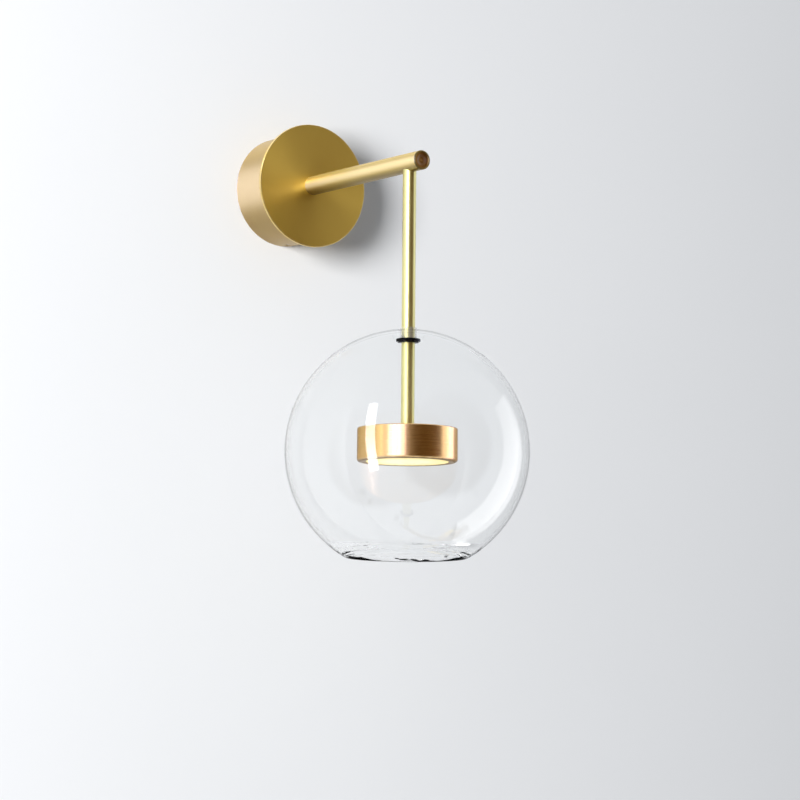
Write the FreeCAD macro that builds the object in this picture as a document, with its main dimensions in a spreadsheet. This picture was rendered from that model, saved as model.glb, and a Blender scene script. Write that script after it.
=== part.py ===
"""Globe wall light: a brass canopy, arm and hanging rod, with a clear glass globe round a lit disc head.

Millimetres. The origin is the centre of the canopy on the wall plane, +Z is up and -Y points out
into the room. Every driving dimension is a cell of the sheet, and each piece follows those cells.
"""
import FreeCAD, Part
import Sketcher
import math
import operator
import os
from types import SimpleNamespace

SIZES = {
    # Canopy, the drum on the wall
    "canopy_diameter": 93,
    "canopy_depth": 48,
    "canopy_wall": 1.5,
    # Disc on the canopy's front, which stands out past its side
    "cover_diameter": 105,
    "cover_thickness": 2,
    "cover_edge_round": 0.5,
    # Bracket behind the canopy, a strap with an ear at each end
    "bracket_end_gap": 4,
    "bracket_width": 26,
    "bracket_thickness": 2,
    "bracket_corner_round": 3,
    "ear_width": 16,
    "ear_height": 15,
    "wall_slot_spacing": 68,
    "wall_slot_width": 4.5,
    "wall_slot_length": 8,
    # Bush round the supply cable in the middle of the bracket
    "cable_hole_diameter": 16,
    "cable_bush_wall": 2.5,
    "cable_bush_flange_diameter": 19.5,
    "cable_bush_flange_thickness": 1.5,
    # Grub screws that hold the canopy on the ears
    "grub_screw_diameter": 4,
    "grub_screw_length": 8,
    "grub_screw_height": 9,
    "grub_screw_sunk": 0.4,
    "grub_socket_radius": 1.15,
    "grub_socket_depth": 2.5,
    # Earth screw and tag, above the cable hole
    "earth_rise": 19,
    "earth_screw_diameter": 4,
    "earth_head_diameter": 7.5,
    "earth_head_height": 2.4,
    "earth_tag_diameter": 9,
    "earth_tag_thickness": 0.8,
    "earth_tag_length": 9,
    "earth_barrel_diameter": 3.4,
    "earth_barrel_length": 5,
    # Terminal block, below the cable hole
    "terminal_gap": 0.25,
    "terminal_pitch": 6.4,
    "terminal_length": 20,
    "terminal_width": 16,
    "terminal_base_height": 4,
    "terminal_height": 12,
    "terminal_tower_width": 5.4,
    "terminal_bore_rise": 7,
    "terminal_clamp_diameter": 3.8,
    "terminal_clamp_wall": 0.8,
    "terminal_screw_well": 2.6,
    "terminal_screw_diameter": 2.2,
    "terminal_screw_spacing": 8,
    "terminal_screw_sunk": 1,
    "terminal_peg_diameter": 4,
    "screw_end_margin": 0.3,
    # Driver, the mains supply of the lamp head
    "driver_length": 54,
    "driver_width": 23,
    "driver_thickness": 19,
    "driver_wall_gap": 2.3,
    "driver_edge_round": 2,
    "driver_pad_thickness": 1,
    "driver_pad_margin": 2,
    # Threads and the nuts and washers on them
    "thread_diameter": 10,
    "thread_bore": 7,
    "thread_clearance": 0.2,
    "lock_nut_flats": 14,
    "lock_nut_height": 3,
    "lock_washer_diameter": 18,
    "lock_washer_thickness": 1,
    # Arm
    "arm_diameter": 16,
    "arm_wall": 1.5,
    "arm_overhang": 18,
    "arm_edge_round": 0.5,
    "nipple_tail": 2.5,
    "nipple_grip": 12,
    "base_plug_length": 16,
    "end_plug_length": 5,
    "end_plug_recess": 0.6,
    "end_plug_dish": 0.5,
    # Tee inside the arm, which the rod hangs from
    "tee_length": 24,
    "tee_gap": 0.4,
    "tee_lead_bore": 4.4,
    "tee_lead_cover": 0.7,
    "rod_seat_drop": 3.2,
    "rod_top_thread": 4.4,
    # Rod
    "rod_diameter": 11,
    "rod_bore": 7,
    "rod_reach": 195,
    "fit_clearance": 0.05,
    "running_clearance": 0.1,
    # Globe and what carries it on the rod
    "globe_diameter": 200,
    "globe_wall": 3,
    "globe_drop": 238,
    "globe_rim_drop": 84.4,
    "globe_rim_swell": 0.7,
    "globe_neck": 7.5,
    "globe_land_radius": 12,
    "globe_land_slope": 1.6,
    "globe_edge_break": 0.7,
    "bush_wall": 1.1,
    "bush_stand": 1.6,
    "washer_diameter": 20,
    "washer_thickness": 2.6,
    "clip_diameter": 17,
    "clip_thickness": 0.9,
    "clip_groove_depth": 0.5,
    "clip_gap": 7,
    # Lamp head
    "head_diameter": 82,
    "head_height": 27.5,
    "head_drop": 219,
    "head_wall": 3,
    "head_top_wall": 2.5,
    "head_top_round": 1,
    "head_rim_round": 2.2,
    "sink_boss_diameter": 24,
    "sink_boss_height": 5,
    "sink_plate_thickness": 4,
    "sink_clearance": 1,
    "board_clearance": 2,
    "board_thickness": 1.6,
    "board_hole_diameter": 8,
    "board_screw_diameter": 3,
    "board_screw_grip": 4,
    "board_screw_head_diameter": 5.5,
    "board_screw_head_height": 1.8,
    "connector_length": 11,
    "connector_width": 9,
    "connector_height": 4,
    "chip_length": 3.5,
    "chip_width": 2.8,
    "chip_height": 0.8,
    "chip_inner_ring": 13,
    "chip_edge_margin": 9,
    "spacer_clearance": 1,
    "spacer_wall": 2,
    "diffuser_flange_thickness": 2,
    "diffuser_clearance": 0.2,
    "bezel_height": 6,
    "bezel_wall": 2,
    "bezel_lip_width": 4,
    "bezel_lip_thickness": 1.6,
    # Leads
    "lead_diameter": 3,
    "lead_bend": 9,
    "lead_long_bend": 180,
    "led_lead_loop": 10,
    "led_lead_aside": 10,
    "led_lead_drop": 13,
    "wire_diameter": 1.8,
    "wire_bend": 4.5,
    "mains_lead_loop": 12,
    "mains_lead_aside": 6,
    "mains_lead_spacing": 3,
    "driver_wire_inset": 5,
    "driver_wire_spacing": 6,
    "earth_lead_margin": 10,
}
BOARD_SCREW_COUNT = 3
CHIPS_ON_INNER_RING = 8
CHIPS_ON_OUTER_RING = 16
TERMINAL_POLES = (-1, 0, 1)
HEXAGON = 6

OPERATIONS = {"+": operator.add, "-": operator.sub, "*": operator.mul, "/": operator.truediv}


class Length:
    """A number together with the sheet formula that gives it, so that sums of sizes stay formulas."""

    def __init__(self, value, formula):
        self.value = value
        self.formula = formula

    def __add__(self, other):
        return combine(self, "+", other)

    def __radd__(self, other):
        return combine(other, "+", self)

    def __sub__(self, other):
        return combine(self, "-", other)

    def __rsub__(self, other):
        return combine(other, "-", self)

    def __mul__(self, other):
        return combine(self, "*", other)

    def __rmul__(self, other):
        return combine(other, "*", self)

    def __truediv__(self, other):
        return combine(self, "/", other)

    def __neg__(self):
        return combine(0, "-", self)


def as_length(number):
    """A plain number as a Length of its own."""
    return number if isinstance(number, Length) else Length(number, repr(number))


def combine(left, sign, right):
    """Two lengths joined by one arithmetic sign, in value and in formula."""
    left = as_length(left)
    right = as_length(right)
    value = OPERATIONS[sign](left.value, right.value)
    return Length(value, f"({left.formula} {sign} {right.formula})")


def root(length):
    """Square root of a length squared."""
    return Length(math.sqrt(length.value), f"sqrt({length.formula})")


def side(long_side, other_side):
    """The third side of a right triangle, from its longest side and one other."""
    return root(long_side * long_side - other_side * other_side)


doc = FreeCAD.newDocument("globe_wall_light")
sheet = doc.addObject("Spreadsheet::Sheet", "Sizes")
for row, (name, number) in enumerate(SIZES.items(), start=1):
    sheet.set(f"A{row}", name)
    sheet.set(f"B{row}", str(number))
    sheet.setAlias(f"B{row}", name)
doc.recompute()
size = SimpleNamespace(**{name: Length(number, f"Sizes.{name}") for name, number in SIZES.items()})


def bind(thing, prop, length):
    """Let a property follow a length."""
    thing.setExpression(prop, as_length(length).formula)


def place(thing, x=0, y=0, z=0):
    """Move a piece to a point that follows the sheet."""
    bind(thing, "Placement.Base.x", x)
    bind(thing, "Placement.Base.y", y)
    bind(thing, "Placement.Base.z", z)


def on_the_wall(thing, x=0, up=0, out=0):
    """Place a piece, turned so that its own Z is the distance from the wall and its own Y is up."""
    thing.Placement.Rotation = FreeCAD.Rotation(FreeCAD.Vector(1, 0, 0), 90)
    place(thing, x, -as_length(out), up)
    return thing


def on_the_rod(thing, up=0):
    """Place a piece on the rod's axis, at a height over the arm's axis."""
    place(thing, 0, -size.rod_reach, up)
    return thing


def new_body(label):
    """An empty body under the name of its piece."""
    body = doc.addObject("PartDesign::Body", label)
    body.Label = label
    return body


def new_sketch(body, role, lift=0):
    """A sketch on one of the body's own origin planes, or lifted off it along its normal."""
    plane = next(item for item in body.Origin.OriginFeatures if item.Role == role)
    sketch = body.newObject("Sketcher::SketchObject", f"{body.Name}_sketch")
    sketch.AttachmentSupport = [(plane, "")]
    sketch.MapMode = "FlatFace"
    bind(sketch, "AttachmentOffset.Base.z", lift)
    return sketch


def pin(sketch, edge, end, across, up):
    """Hold one end of an edge at a point that follows the sheet."""
    for kind, length in (("DistanceX", across), ("DistanceY", up)):
        length = as_length(length)
        index = sketch.addConstraint(Sketcher.Constraint(kind, -1, 1, edge, end, length.value))
        bind(sketch, f"Constraints[{index}]", length)


def line_to(across, up):
    """A straight edge of an outline, by the point where it ends."""
    return SimpleNamespace(across=as_length(across), up=as_length(up), radius=None, turn=0)


def arc_to(across, up, radius, turn):
    """A round edge under half a circle, by its end; turn is 1 anticlockwise and -1 clockwise."""
    return SimpleNamespace(across=as_length(across), up=as_length(up), radius=as_length(radius), turn=turn)


def arc_edge(start, end, radius, turn):
    """The arc between two points, always drawn anticlockwise."""
    chord = end - start
    across = FreeCAD.Vector(-chord.y, chord.x, 0).normalize()
    rise = math.sqrt(max(radius ** 2 - chord.Length ** 2 / 4, 0))
    centre = (start + end) / 2 + across * rise * turn
    first, last = (start, end) if turn > 0 else (end, start)
    angles = [math.atan2(point.y - centre.y, point.x - centre.x) for point in (first, last)]
    circle = Part.Circle(centre, FreeCAD.Vector(0, 0, 1), radius)
    return Part.ArcOfCircle(circle, angles[0], angles[1])


def draw(sketch, outline):
    """A closed outline. Each step ends one edge, and every end and radius follows the sheet."""
    points = [FreeCAD.Vector(step.across.value, step.up.value, 0) for step in outline]
    edges = []
    for number, step in enumerate(outline):
        start = points[number - 1]
        if step.turn:
            edge = sketch.addGeometry(arc_edge(start, points[number], step.radius.value, step.turn))
        else:
            edge = sketch.addGeometry(Part.LineSegment(start, points[number]))
        first, last = (2, 1) if step.turn < 0 else (1, 2)
        edges.append(SimpleNamespace(edge=edge, first=first, last=last))
    for number, step in enumerate(outline):
        here = edges[number]
        after = edges[(number + 1) % len(edges)]
        meet = Sketcher.Constraint("Coincident", here.edge, here.last, after.edge, after.first)
        sketch.addConstraint(meet)
        pin(sketch, here.edge, here.last, step.across, step.up)
        if step.turn:
            index = sketch.addConstraint(Sketcher.Constraint("Radius", here.edge, step.radius.value))
            bind(sketch, f"Constraints[{index}]", step.radius)


def draw_circle(sketch, across, up, radius):
    """A circle whose centre and radius follow the sheet."""
    centre = FreeCAD.Vector(as_length(across).value, as_length(up).value, 0)
    circle = Part.Circle(centre, FreeCAD.Vector(0, 0, 1), radius.value)
    edge = sketch.addGeometry(circle)
    pin(sketch, edge, 3, across, up)
    index = sketch.addConstraint(Sketcher.Constraint("Radius", edge, radius.value))
    bind(sketch, f"Constraints[{index}]", radius)


def rectangle(left, right, low, high):
    """The outline of a rectangle."""
    return [line_to(right, low), line_to(right, high), line_to(left, high), line_to(left, low)]


def rounded_rectangle(half_across, half_up, radius):
    """The outline of a rectangle about the origin, with round corners."""
    flat_across = half_across - radius
    flat_up = half_up - radius
    return [
        line_to(flat_across, -half_up),
        arc_to(half_across, -flat_up, radius, 1),
        line_to(half_across, flat_up),
        arc_to(flat_across, half_up, radius, 1),
        line_to(-flat_across, half_up),
        arc_to(-half_across, flat_up, radius, 1),
        line_to(-half_across, -flat_up),
        arc_to(-flat_across, -half_up, radius, 1),
    ]


def pad(body, sketch, height):
    """Raise a sketch along its plane's normal."""
    feature = body.newObject("PartDesign::Pad", f"{body.Name}_pad")
    feature.Profile = sketch
    bind(feature, "Length", height)
    return feature


def pocket(body, sketch, reverse=False, depth=None, both_ways=False):
    """Cut a sketch through the body along the plane's normal, or to a depth."""
    feature = body.newObject("PartDesign::Pocket", f"{body.Name}_pocket")
    feature.Profile = sketch
    feature.Reversed = reverse
    if depth is None:
        feature.Type = "ThroughAll"
    else:
        bind(feature, "Length", depth)
    if both_ways:
        feature.SideType = "Symmetric"
    return feature


def turned(label, outline):
    """A lathe-turned piece: an outline of radius and height, spun about the body's Z axis."""
    body = new_body(label)
    sketch = new_sketch(body, "XZ_Plane")
    draw(sketch, outline)
    spin = body.newObject("PartDesign::Revolution", f"{label}_spin")
    spin.Profile = sketch
    spin.ReferenceAxis = (sketch, ["V_Axis"])
    spin.Angle = 360
    return body


def ring(label, inner, outer, low, high):
    """A plain turned ring or tube."""
    return turned(label, rectangle(inner, outer, low, high))


def plate(label, outline, height):
    """A flat piece: an outline on the body's XY plane, raised along Z."""
    body = new_body(label)
    sketch = new_sketch(body, "XY_Plane")
    draw(sketch, outline)
    pad(body, sketch, height)
    return body


def group(label, pieces):
    """Several alike pieces as separate solids of one node."""
    compound = doc.addObject("Part::Compound", label)
    compound.Label = label
    compound.Links = pieces
    return compound


def regular_outline(corners, radius):
    """The outline of a regular polygon about the origin, by the radius to its corners."""
    angles = [2 * math.pi * number / corners for number in range(corners)]
    return [line_to(radius * math.cos(angle), radius * math.sin(angle)) for angle in angles]


def slot_outline(middle, half_width, half_length):
    """An upright slot about a point of the vertical axis, with round ends made of two quarter arcs each."""
    top = middle + half_length - half_width
    low = middle - half_length + half_width
    return [
        line_to(half_width, top),
        arc_to(0, middle + half_length, half_width, 1),
        arc_to(-half_width, top, half_width, 1),
        line_to(-half_width, low),
        arc_to(0, middle - half_length, half_width, 1),
        arc_to(half_width, low, half_width, 1),
    ]


def screw_outline(shank, head, end, seat, top):
    """Half section of a screw with a round-edged cheese head, by two radii and three heights."""
    edge = (top - seat) / 2
    return [
        line_to(shank, end),
        line_to(shank, seat),
        line_to(head, seat),
        line_to(head, seat + edge),
        arc_to(head - edge, top, edge, 1),
        line_to(0, top),
        line_to(0, end),
    ]


# Places shared by several pieces. Those of the wall side are distances from the wall.
canopy_radius = size.canopy_diameter / 2
canopy_bore = canopy_radius - size.canopy_wall
canopy_front = size.canopy_depth - size.cover_thickness
canopy_inside = canopy_front - size.canopy_wall
thread_radius = size.thread_diameter / 2
thread_hole = thread_radius + size.thread_clearance
nut_face = canopy_inside - size.lock_washer_thickness
nipple_low = nut_face - size.lock_nut_height - size.nipple_tail
driver_face = canopy_inside - size.driver_pad_thickness
driver_middle = driver_face - size.driver_thickness / 2
driver_end = size.driver_length / 2
driver_offset = side(canopy_bore - size.driver_wall_gap, driver_end) - size.driver_width / 2
earth_seat = size.bracket_thickness + size.earth_tag_thickness
earth_barrel_middle = size.bracket_thickness + size.earth_barrel_diameter / 2
terminal_drop = size.cable_bush_flange_diameter / 2 + size.terminal_gap + size.terminal_length / 2
terminal_bore_out = size.bracket_thickness + size.terminal_bore_rise
terminal_top = size.bracket_thickness + size.terminal_height
arm_radius = size.arm_diameter / 2
arm_bore = arm_radius - size.arm_wall
arm_reach = size.rod_reach + size.arm_overhang
end_plug_face = arm_reach - size.end_plug_recess
end_plug_low = end_plug_face - size.end_plug_length
tee_high = end_plug_low - size.tee_gap
tee_low = tee_high - size.tee_length
tee_lead_rise = arm_bore - size.tee_lead_bore / 2 - size.tee_lead_cover

# Heights on the rod, over the arm's axis
rod_radius = size.rod_diameter / 2
globe_radius = size.globe_diameter / 2
globe_seat = globe_radius - size.globe_neck - size.globe_drop
washer_low = globe_seat - size.washer_thickness
clip_low = washer_low - size.clip_thickness
clip_bore = rod_radius - size.clip_groove_depth
bush_bore = rod_radius + size.running_clearance
bush_radius = bush_bore + size.bush_wall
globe_hole = bush_radius + size.running_clearance

# Heights in the lamp head, under its top face
head_radius = size.head_diameter / 2
head_inside = head_radius - size.head_wall
boss_top = -size.head_top_wall - size.lock_washer_thickness
boss_low = boss_top - size.sink_boss_height
sink_low = boss_low - size.sink_plate_thickness
board_low = sink_low - size.board_thickness
lip_top = size.bezel_lip_thickness - size.head_height
diffuser_top = lip_top + size.diffuser_flange_thickness
lip_radius = head_inside - size.bezel_lip_width
bezel_bore = head_inside - size.bezel_wall
board_radius = head_inside - size.board_clearance
chip_outer_ring = board_radius - size.chip_edge_margin
board_screw_ring = (size.chip_inner_ring + chip_outer_ring) / 2


def make_canopy():
    """Spun drum, open to the wall, with a hole for the arm's nipple and one for each grub screw."""
    canopy = turned("canopy", [
        line_to(canopy_radius, 0),
        line_to(canopy_radius, canopy_front),
        line_to(thread_hole, canopy_front),
        line_to(thread_hole, canopy_inside),
        line_to(canopy_bore, canopy_inside),
        line_to(canopy_bore, 0),
    ])
    holes = new_sketch(canopy, "XZ_Plane")
    draw_circle(holes, 0, size.grub_screw_height, size.grub_screw_diameter / 2 + size.thread_clearance)
    pocket(canopy, holes, both_ways=True)
    return on_the_wall(canopy)


def make_canopy_cover():
    """Turned disc between the canopy and the arm, with a soft front edge."""
    edge = size.cover_edge_round
    cover_radius = size.cover_diameter / 2
    return on_the_wall(turned("canopy_cover", [
        line_to(cover_radius, canopy_front),
        line_to(cover_radius, size.canopy_depth - edge),
        arc_to(cover_radius - edge, size.canopy_depth, edge, 1),
        line_to(thread_hole, size.canopy_depth),
        line_to(thread_hole, canopy_front),
    ]))


def make_wall_bracket():
    """Steel strap flat on the wall, with a tapped ear at each end and slots for the wall screws."""
    half_length = canopy_bore - size.bracket_end_gap
    half_ear = size.ear_width / 2
    ear_inside = half_length - size.bracket_thickness
    outline = rounded_rectangle(size.bracket_width / 2, half_length, size.bracket_corner_round)
    bracket = plate("wall_bracket", outline, size.bracket_thickness)
    ears = new_sketch(bracket, "XY_Plane")
    draw(ears, rectangle(-half_ear, half_ear, ear_inside, half_length))
    draw(ears, rectangle(-half_ear, half_ear, -half_length, -ear_inside))
    pad(bracket, ears, size.ear_height)
    holes = new_sketch(bracket, "XY_Plane")
    for way in (1, -1):
        middle = way * size.wall_slot_spacing / 2
        draw(holes, slot_outline(middle, size.wall_slot_width / 2, size.wall_slot_length / 2))
        peg_hole = size.terminal_peg_diameter / 2 + size.fit_clearance
        draw_circle(holes, 0, way * size.terminal_pitch / 2 - terminal_drop, peg_hole)
    draw_circle(holes, 0, 0, size.cable_hole_diameter / 2)
    draw_circle(holes, 0, size.earth_rise, size.earth_screw_diameter / 2)
    pocket(bracket, holes, reverse=True)
    taps = new_sketch(bracket, "XZ_Plane")
    draw_circle(taps, 0, size.grub_screw_height, size.grub_screw_diameter / 2)
    pocket(bracket, taps, both_ways=True)
    return on_the_wall(bracket)


def make_cable_bush():
    """Flanged bush in the strap's middle hole, which keeps the supply cable off the steel edge."""
    bore = size.cable_hole_diameter / 2 - size.cable_bush_wall
    barrel = size.cable_hole_diameter / 2 - size.fit_clearance
    flange = size.cable_bush_flange_diameter / 2
    flange_top = size.bracket_thickness + size.cable_bush_flange_thickness
    return on_the_wall(turned("cable_bush", [
        line_to(barrel, 0),
        line_to(barrel, size.bracket_thickness),
        line_to(flange, size.bracket_thickness),
        line_to(flange, flange_top),
        line_to(bore, flange_top),
        line_to(bore, 0),
    ]))


def make_grub_screws():
    """Socket grub screws in the ears, backed out into the canopy's holes at its top and bottom."""
    outline = rectangle(0, size.grub_screw_diameter / 2, 0, size.grub_screw_length)
    screws = []
    for name, turn in (("upper", 0), ("lower", 180)):
        screw = turned(f"grub_screw_{name}", outline)
        socket = new_sketch(screw, "XY_Plane", size.grub_screw_length)
        draw(socket, regular_outline(HEXAGON, size.grub_socket_radius))
        pocket(screw, socket, depth=size.grub_socket_depth)
        screw.Placement.Rotation = FreeCAD.Rotation(FreeCAD.Vector(1, 0, 0), turn)
        foot = canopy_radius - size.grub_screw_sunk - size.grub_screw_length
        place(screw, 0, -size.grub_screw_height, foot if turn == 0 else -foot)
        screws.append(screw)
    return group("canopy_grub_screws", screws)


def make_earth_screw():
    """Cheese-head screw that clamps the earth tag on the strap, short of the wall."""
    outline = screw_outline(size.earth_screw_diameter / 2, size.earth_head_diameter / 2,
                            size.screw_end_margin, earth_seat, earth_seat + size.earth_head_height)
    return on_the_wall(turned("earth_screw", outline), up=size.earth_rise)


def cylinder(label, radius, height):
    """A plain round bar along Z."""
    bar = doc.addObject("Part::Cylinder", label)
    bind(bar, "Radius", radius)
    bind(bar, "Height", height)
    return bar


def block(label, length, width, height):
    """A plain rectangular block from its lowest corner."""
    box = doc.addObject("Part::Box", label)
    bind(box, "Length", length)
    bind(box, "Width", width)
    bind(box, "Height", height)
    return box


def cut(label, base, tool):
    """One piece less another."""
    result = doc.addObject("Part::Cut", label)
    result.Label = label
    result.Base = base
    result.Tool = tool
    return result


def fuse(label, pieces):
    """Several shapes grown into one solid."""
    result = doc.addObject("Part::MultiFuse", label)
    result.Label = label
    result.Shapes = pieces
    return result


def make_earth_tag():
    """Ring tag under the earth screw, with a tongue and the barrel that is crimped on the earth lead."""
    thickness = size.earth_tag_thickness
    disc = cylinder("earth_tag_disc", size.earth_tag_diameter / 2, thickness)
    tongue = block("earth_tag_tongue", size.earth_tag_length, size.earth_barrel_diameter, thickness)
    place(tongue, -size.earth_tag_length, -size.earth_barrel_diameter / 2, 0)
    barrel = cylinder("earth_tag_barrel", size.earth_barrel_diameter / 2, size.earth_barrel_length)
    barrel.Placement.Rotation = FreeCAD.Rotation(FreeCAD.Vector(0, 1, 0), -90)
    place(barrel, thickness - size.earth_tag_length, 0, size.earth_barrel_diameter / 2)
    body = fuse("earth_tag_body", [disc, tongue, barrel])
    hole = cylinder("earth_tag_hole", size.earth_screw_diameter / 2 + size.fit_clearance, thickness)
    return on_the_wall(cut("earth_tag", body, hole), up=size.earth_rise, out=size.bracket_thickness)


def pole_up(pole):
    """Height of a pole of the terminal block, from the lowest, -1, to the highest, 1."""
    return pole * size.terminal_pitch - terminal_drop


def make_terminal_block():
    """Three-pole terminal strip on the strap: a base with two pegs, and a bored tower for each pole."""
    half_width = size.terminal_width / 2
    half_length = size.terminal_length / 2
    half_tower = size.terminal_tower_width / 2
    strip = plate("terminal_block", rectangle(-half_width, half_width, -half_length, half_length),
                  size.terminal_base_height)
    towers = new_sketch(strip, "XY_Plane")
    wells = new_sketch(strip, "XY_Plane", size.terminal_height)
    bores = new_sketch(strip, "YZ_Plane")
    for pole in TERMINAL_POLES:
        middle = pole * size.terminal_pitch
        draw(towers, rectangle(-half_width, half_width, middle - half_tower, middle + half_tower))
        draw_circle(bores, middle, size.terminal_bore_rise, size.terminal_clamp_diameter / 2)
        for way in (1, -1):
            draw_circle(wells, way * size.terminal_screw_spacing / 2, middle, size.terminal_screw_well / 2)
    pad(strip, towers, size.terminal_height)
    pocket(strip, bores, both_ways=True)
    pocket(strip, wells, depth=size.terminal_height - size.terminal_bore_rise)
    pegs = new_sketch(strip, "XY_Plane")
    for way in (1, -1):
        draw_circle(pegs, 0, way * size.terminal_pitch / 2, size.terminal_peg_diameter / 2)
    peg = pad(strip, pegs, size.bracket_thickness - size.screw_end_margin)
    peg.Reversed = True
    return on_the_wall(strip, up=-terminal_drop, out=size.bracket_thickness)


def make_terminal_clamps():
    """Brass tube in each pole of the strip, drilled on the room side for its two clamping screws."""
    half_length = size.terminal_width / 2 - size.terminal_screw_sunk
    outer = size.terminal_clamp_diameter / 2
    clamps = []
    for pole in TERMINAL_POLES:
        clamp = ring(f"terminal_clamp_{len(clamps) + 1}", outer - size.terminal_clamp_wall, outer,
                     -half_length, half_length)
        holes = new_sketch(clamp, "XZ_Plane")
        for way in (1, -1):
            draw_circle(holes, 0, way * size.terminal_screw_spacing / 2, size.terminal_screw_diameter / 2)
        pocket(clamp, holes, reverse=True)
        clamp.Placement.Rotation = FreeCAD.Rotation(FreeCAD.Vector(0, 1, 0), 90)
        place(clamp, 0, -terminal_bore_out, pole_up(pole))
        clamps.append(clamp)
    return group("terminal_clamps", clamps)


def make_terminal_screws():
    """Clamping screws, two to a pole, from the wells down to the bore of the brass tube."""
    tip = terminal_bore_out + size.terminal_clamp_diameter / 2 - size.terminal_clamp_wall
    length = terminal_top - size.terminal_screw_sunk - tip
    screws = []
    for pole in TERMINAL_POLES:
        for way in (1, -1):
            screw = cylinder(f"terminal_screw_{len(screws) + 1}", size.terminal_screw_diameter / 2, length)
            screws.append(on_the_wall(screw, way * size.terminal_screw_spacing / 2, pole_up(pole), tip))
    return group("terminal_screws", screws)


def make_driver():
    """Potted supply in its moulded case, along one side of the canopy."""
    outline = rounded_rectangle(size.driver_width / 2, driver_end, size.driver_edge_round)
    driver = plate("driver_case", outline, size.driver_thickness)
    return on_the_wall(driver, x=driver_offset, out=driver_face - size.driver_thickness)


def make_driver_pad():
    """Adhesive foam between the driver and the canopy's face."""
    half_width = size.driver_width / 2 - size.driver_pad_margin
    half_length = driver_end - size.driver_pad_margin
    outline = rectangle(-half_width, half_width, -half_length, half_length)
    pad_piece = plate("driver_pad", outline, size.driver_pad_thickness)
    return on_the_wall(pad_piece, x=driver_offset, out=driver_face)


def make_arm_nipple():
    """Hollow threaded nipple that ties the arm to the canopy and lets the lead through."""
    high = size.canopy_depth + size.nipple_grip
    return on_the_wall(ring("arm_nipple", size.thread_bore / 2, thread_radius, nipple_low, high))


def make_arm_lock_washer():
    """Washer between the lock nut and the canopy."""
    outer = size.lock_washer_diameter / 2
    return on_the_wall(ring("arm_lock_washer", thread_hole, outer, nut_face, canopy_inside))


def make_arm_lock_nut():
    """Thin hexagon nut on the nipple, inside the canopy."""
    hexagon = doc.addObject("Part::Prism", "arm_lock_nut_blank")
    hexagon.Polygon = HEXAGON
    bind(hexagon, "Circumradius", size.lock_nut_flats / math.sqrt(3))
    bind(hexagon, "Height", size.lock_nut_height)
    thread = cylinder("arm_lock_nut_thread", thread_radius, size.lock_nut_height)
    return on_the_wall(cut("arm_lock_nut", hexagon, thread), out=nut_face - size.lock_nut_height)


def make_arm_base_plug():
    """Tapped plug brazed into the arm's wall end, which takes the nipple."""
    high = size.canopy_depth + size.base_plug_length
    return on_the_wall(ring("arm_base_plug", thread_radius, arm_bore, size.canopy_depth, high))


def make_arm_tube():
    """Arm from the cover's face to its open end, with the rod's hole underneath."""
    edge = size.arm_edge_round
    arm = turned("arm_tube", [
        line_to(arm_radius, size.canopy_depth),
        line_to(arm_radius, arm_reach - edge),
        arc_to(arm_radius - edge, arm_reach, edge, 1),
        line_to(arm_bore, arm_reach),
        line_to(arm_bore, size.canopy_depth),
    ])
    hole = new_sketch(arm, "XZ_Plane")
    draw_circle(hole, 0, size.rod_reach, rod_radius + size.fit_clearance)
    pocket(arm, hole, reverse=True)
    return on_the_wall(arm)


def make_arm_end_plug():
    """Plug pressed into the open end, a little recessed, with a shallow dish in its face."""
    dish = size.end_plug_dish
    dish_radius = (arm_bore * arm_bore + dish * dish) / (2 * dish)
    return on_the_wall(turned("arm_end_plug", [
        line_to(arm_bore, end_plug_low),
        line_to(arm_bore, end_plug_face),
        arc_to(0, end_plug_face - dish, dish_radius, -1),
        line_to(0, end_plug_low),
    ]))


def make_arm_tee():
    """Brass bar brazed inside the arm: a seat and thread for the rod, and a bent way for the lead."""
    lead_bore = size.tee_lead_bore / 2
    tee = turned("arm_tee", rectangle(0, arm_bore, tee_low, tee_high))
    seat = new_sketch(tee, "XZ_Plane", size.rod_seat_drop)
    draw_circle(seat, 0, size.rod_reach, rod_radius + size.fit_clearance)
    pocket(tee, seat, reverse=True)
    thread = new_sketch(tee, "XZ_Plane", size.rod_seat_drop)
    draw_circle(thread, 0, size.rod_reach, thread_radius)
    pocket(tee, thread, depth=size.rod_top_thread)
    down = new_sketch(tee, "XZ_Plane", size.rod_seat_drop)
    draw_circle(down, 0, size.rod_reach, lead_bore)
    pocket(tee, down, depth=size.rod_seat_drop + tee_lead_rise + lead_bore)
    along = new_sketch(tee, "XY_Plane", size.rod_reach)
    draw_circle(along, 0, tee_lead_rise, lead_bore)
    pocket(tee, along)
    return on_the_wall(tee)


def make_rod():
    """Hanging tube: threaded neck in the tee, groove for the clip, threaded foot in the lamp head."""
    bore = size.rod_bore / 2
    head_top = -size.head_drop
    foot = head_top + boss_low
    top = size.rod_top_thread - size.rod_seat_drop
    return on_the_rod(turned("rod_tube", [
        line_to(thread_radius, foot),
        line_to(thread_radius, head_top),
        line_to(rod_radius, head_top),
        line_to(rod_radius, clip_low),
        line_to(clip_bore, clip_low),
        line_to(clip_bore, washer_low),
        line_to(rod_radius, washer_low),
        line_to(rod_radius, -size.rod_seat_drop),
        line_to(thread_radius, -size.rod_seat_drop),
        line_to(thread_radius, top),
        line_to(bore, top),
        line_to(bore, foot),
    ]))


def make_globe_clip():
    """Spring clip in the rod's groove, open on the wall side."""
    clip = ring("globe_clip", clip_bore, size.clip_diameter / 2, clip_low, washer_low)
    mouth = new_sketch(clip, "XY_Plane")
    half_gap = size.clip_gap / 2
    draw(mouth, rectangle(-half_gap, half_gap, 0, size.clip_diameter))
    pocket(clip, mouth, both_ways=True)
    return on_the_rod(clip)


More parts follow.
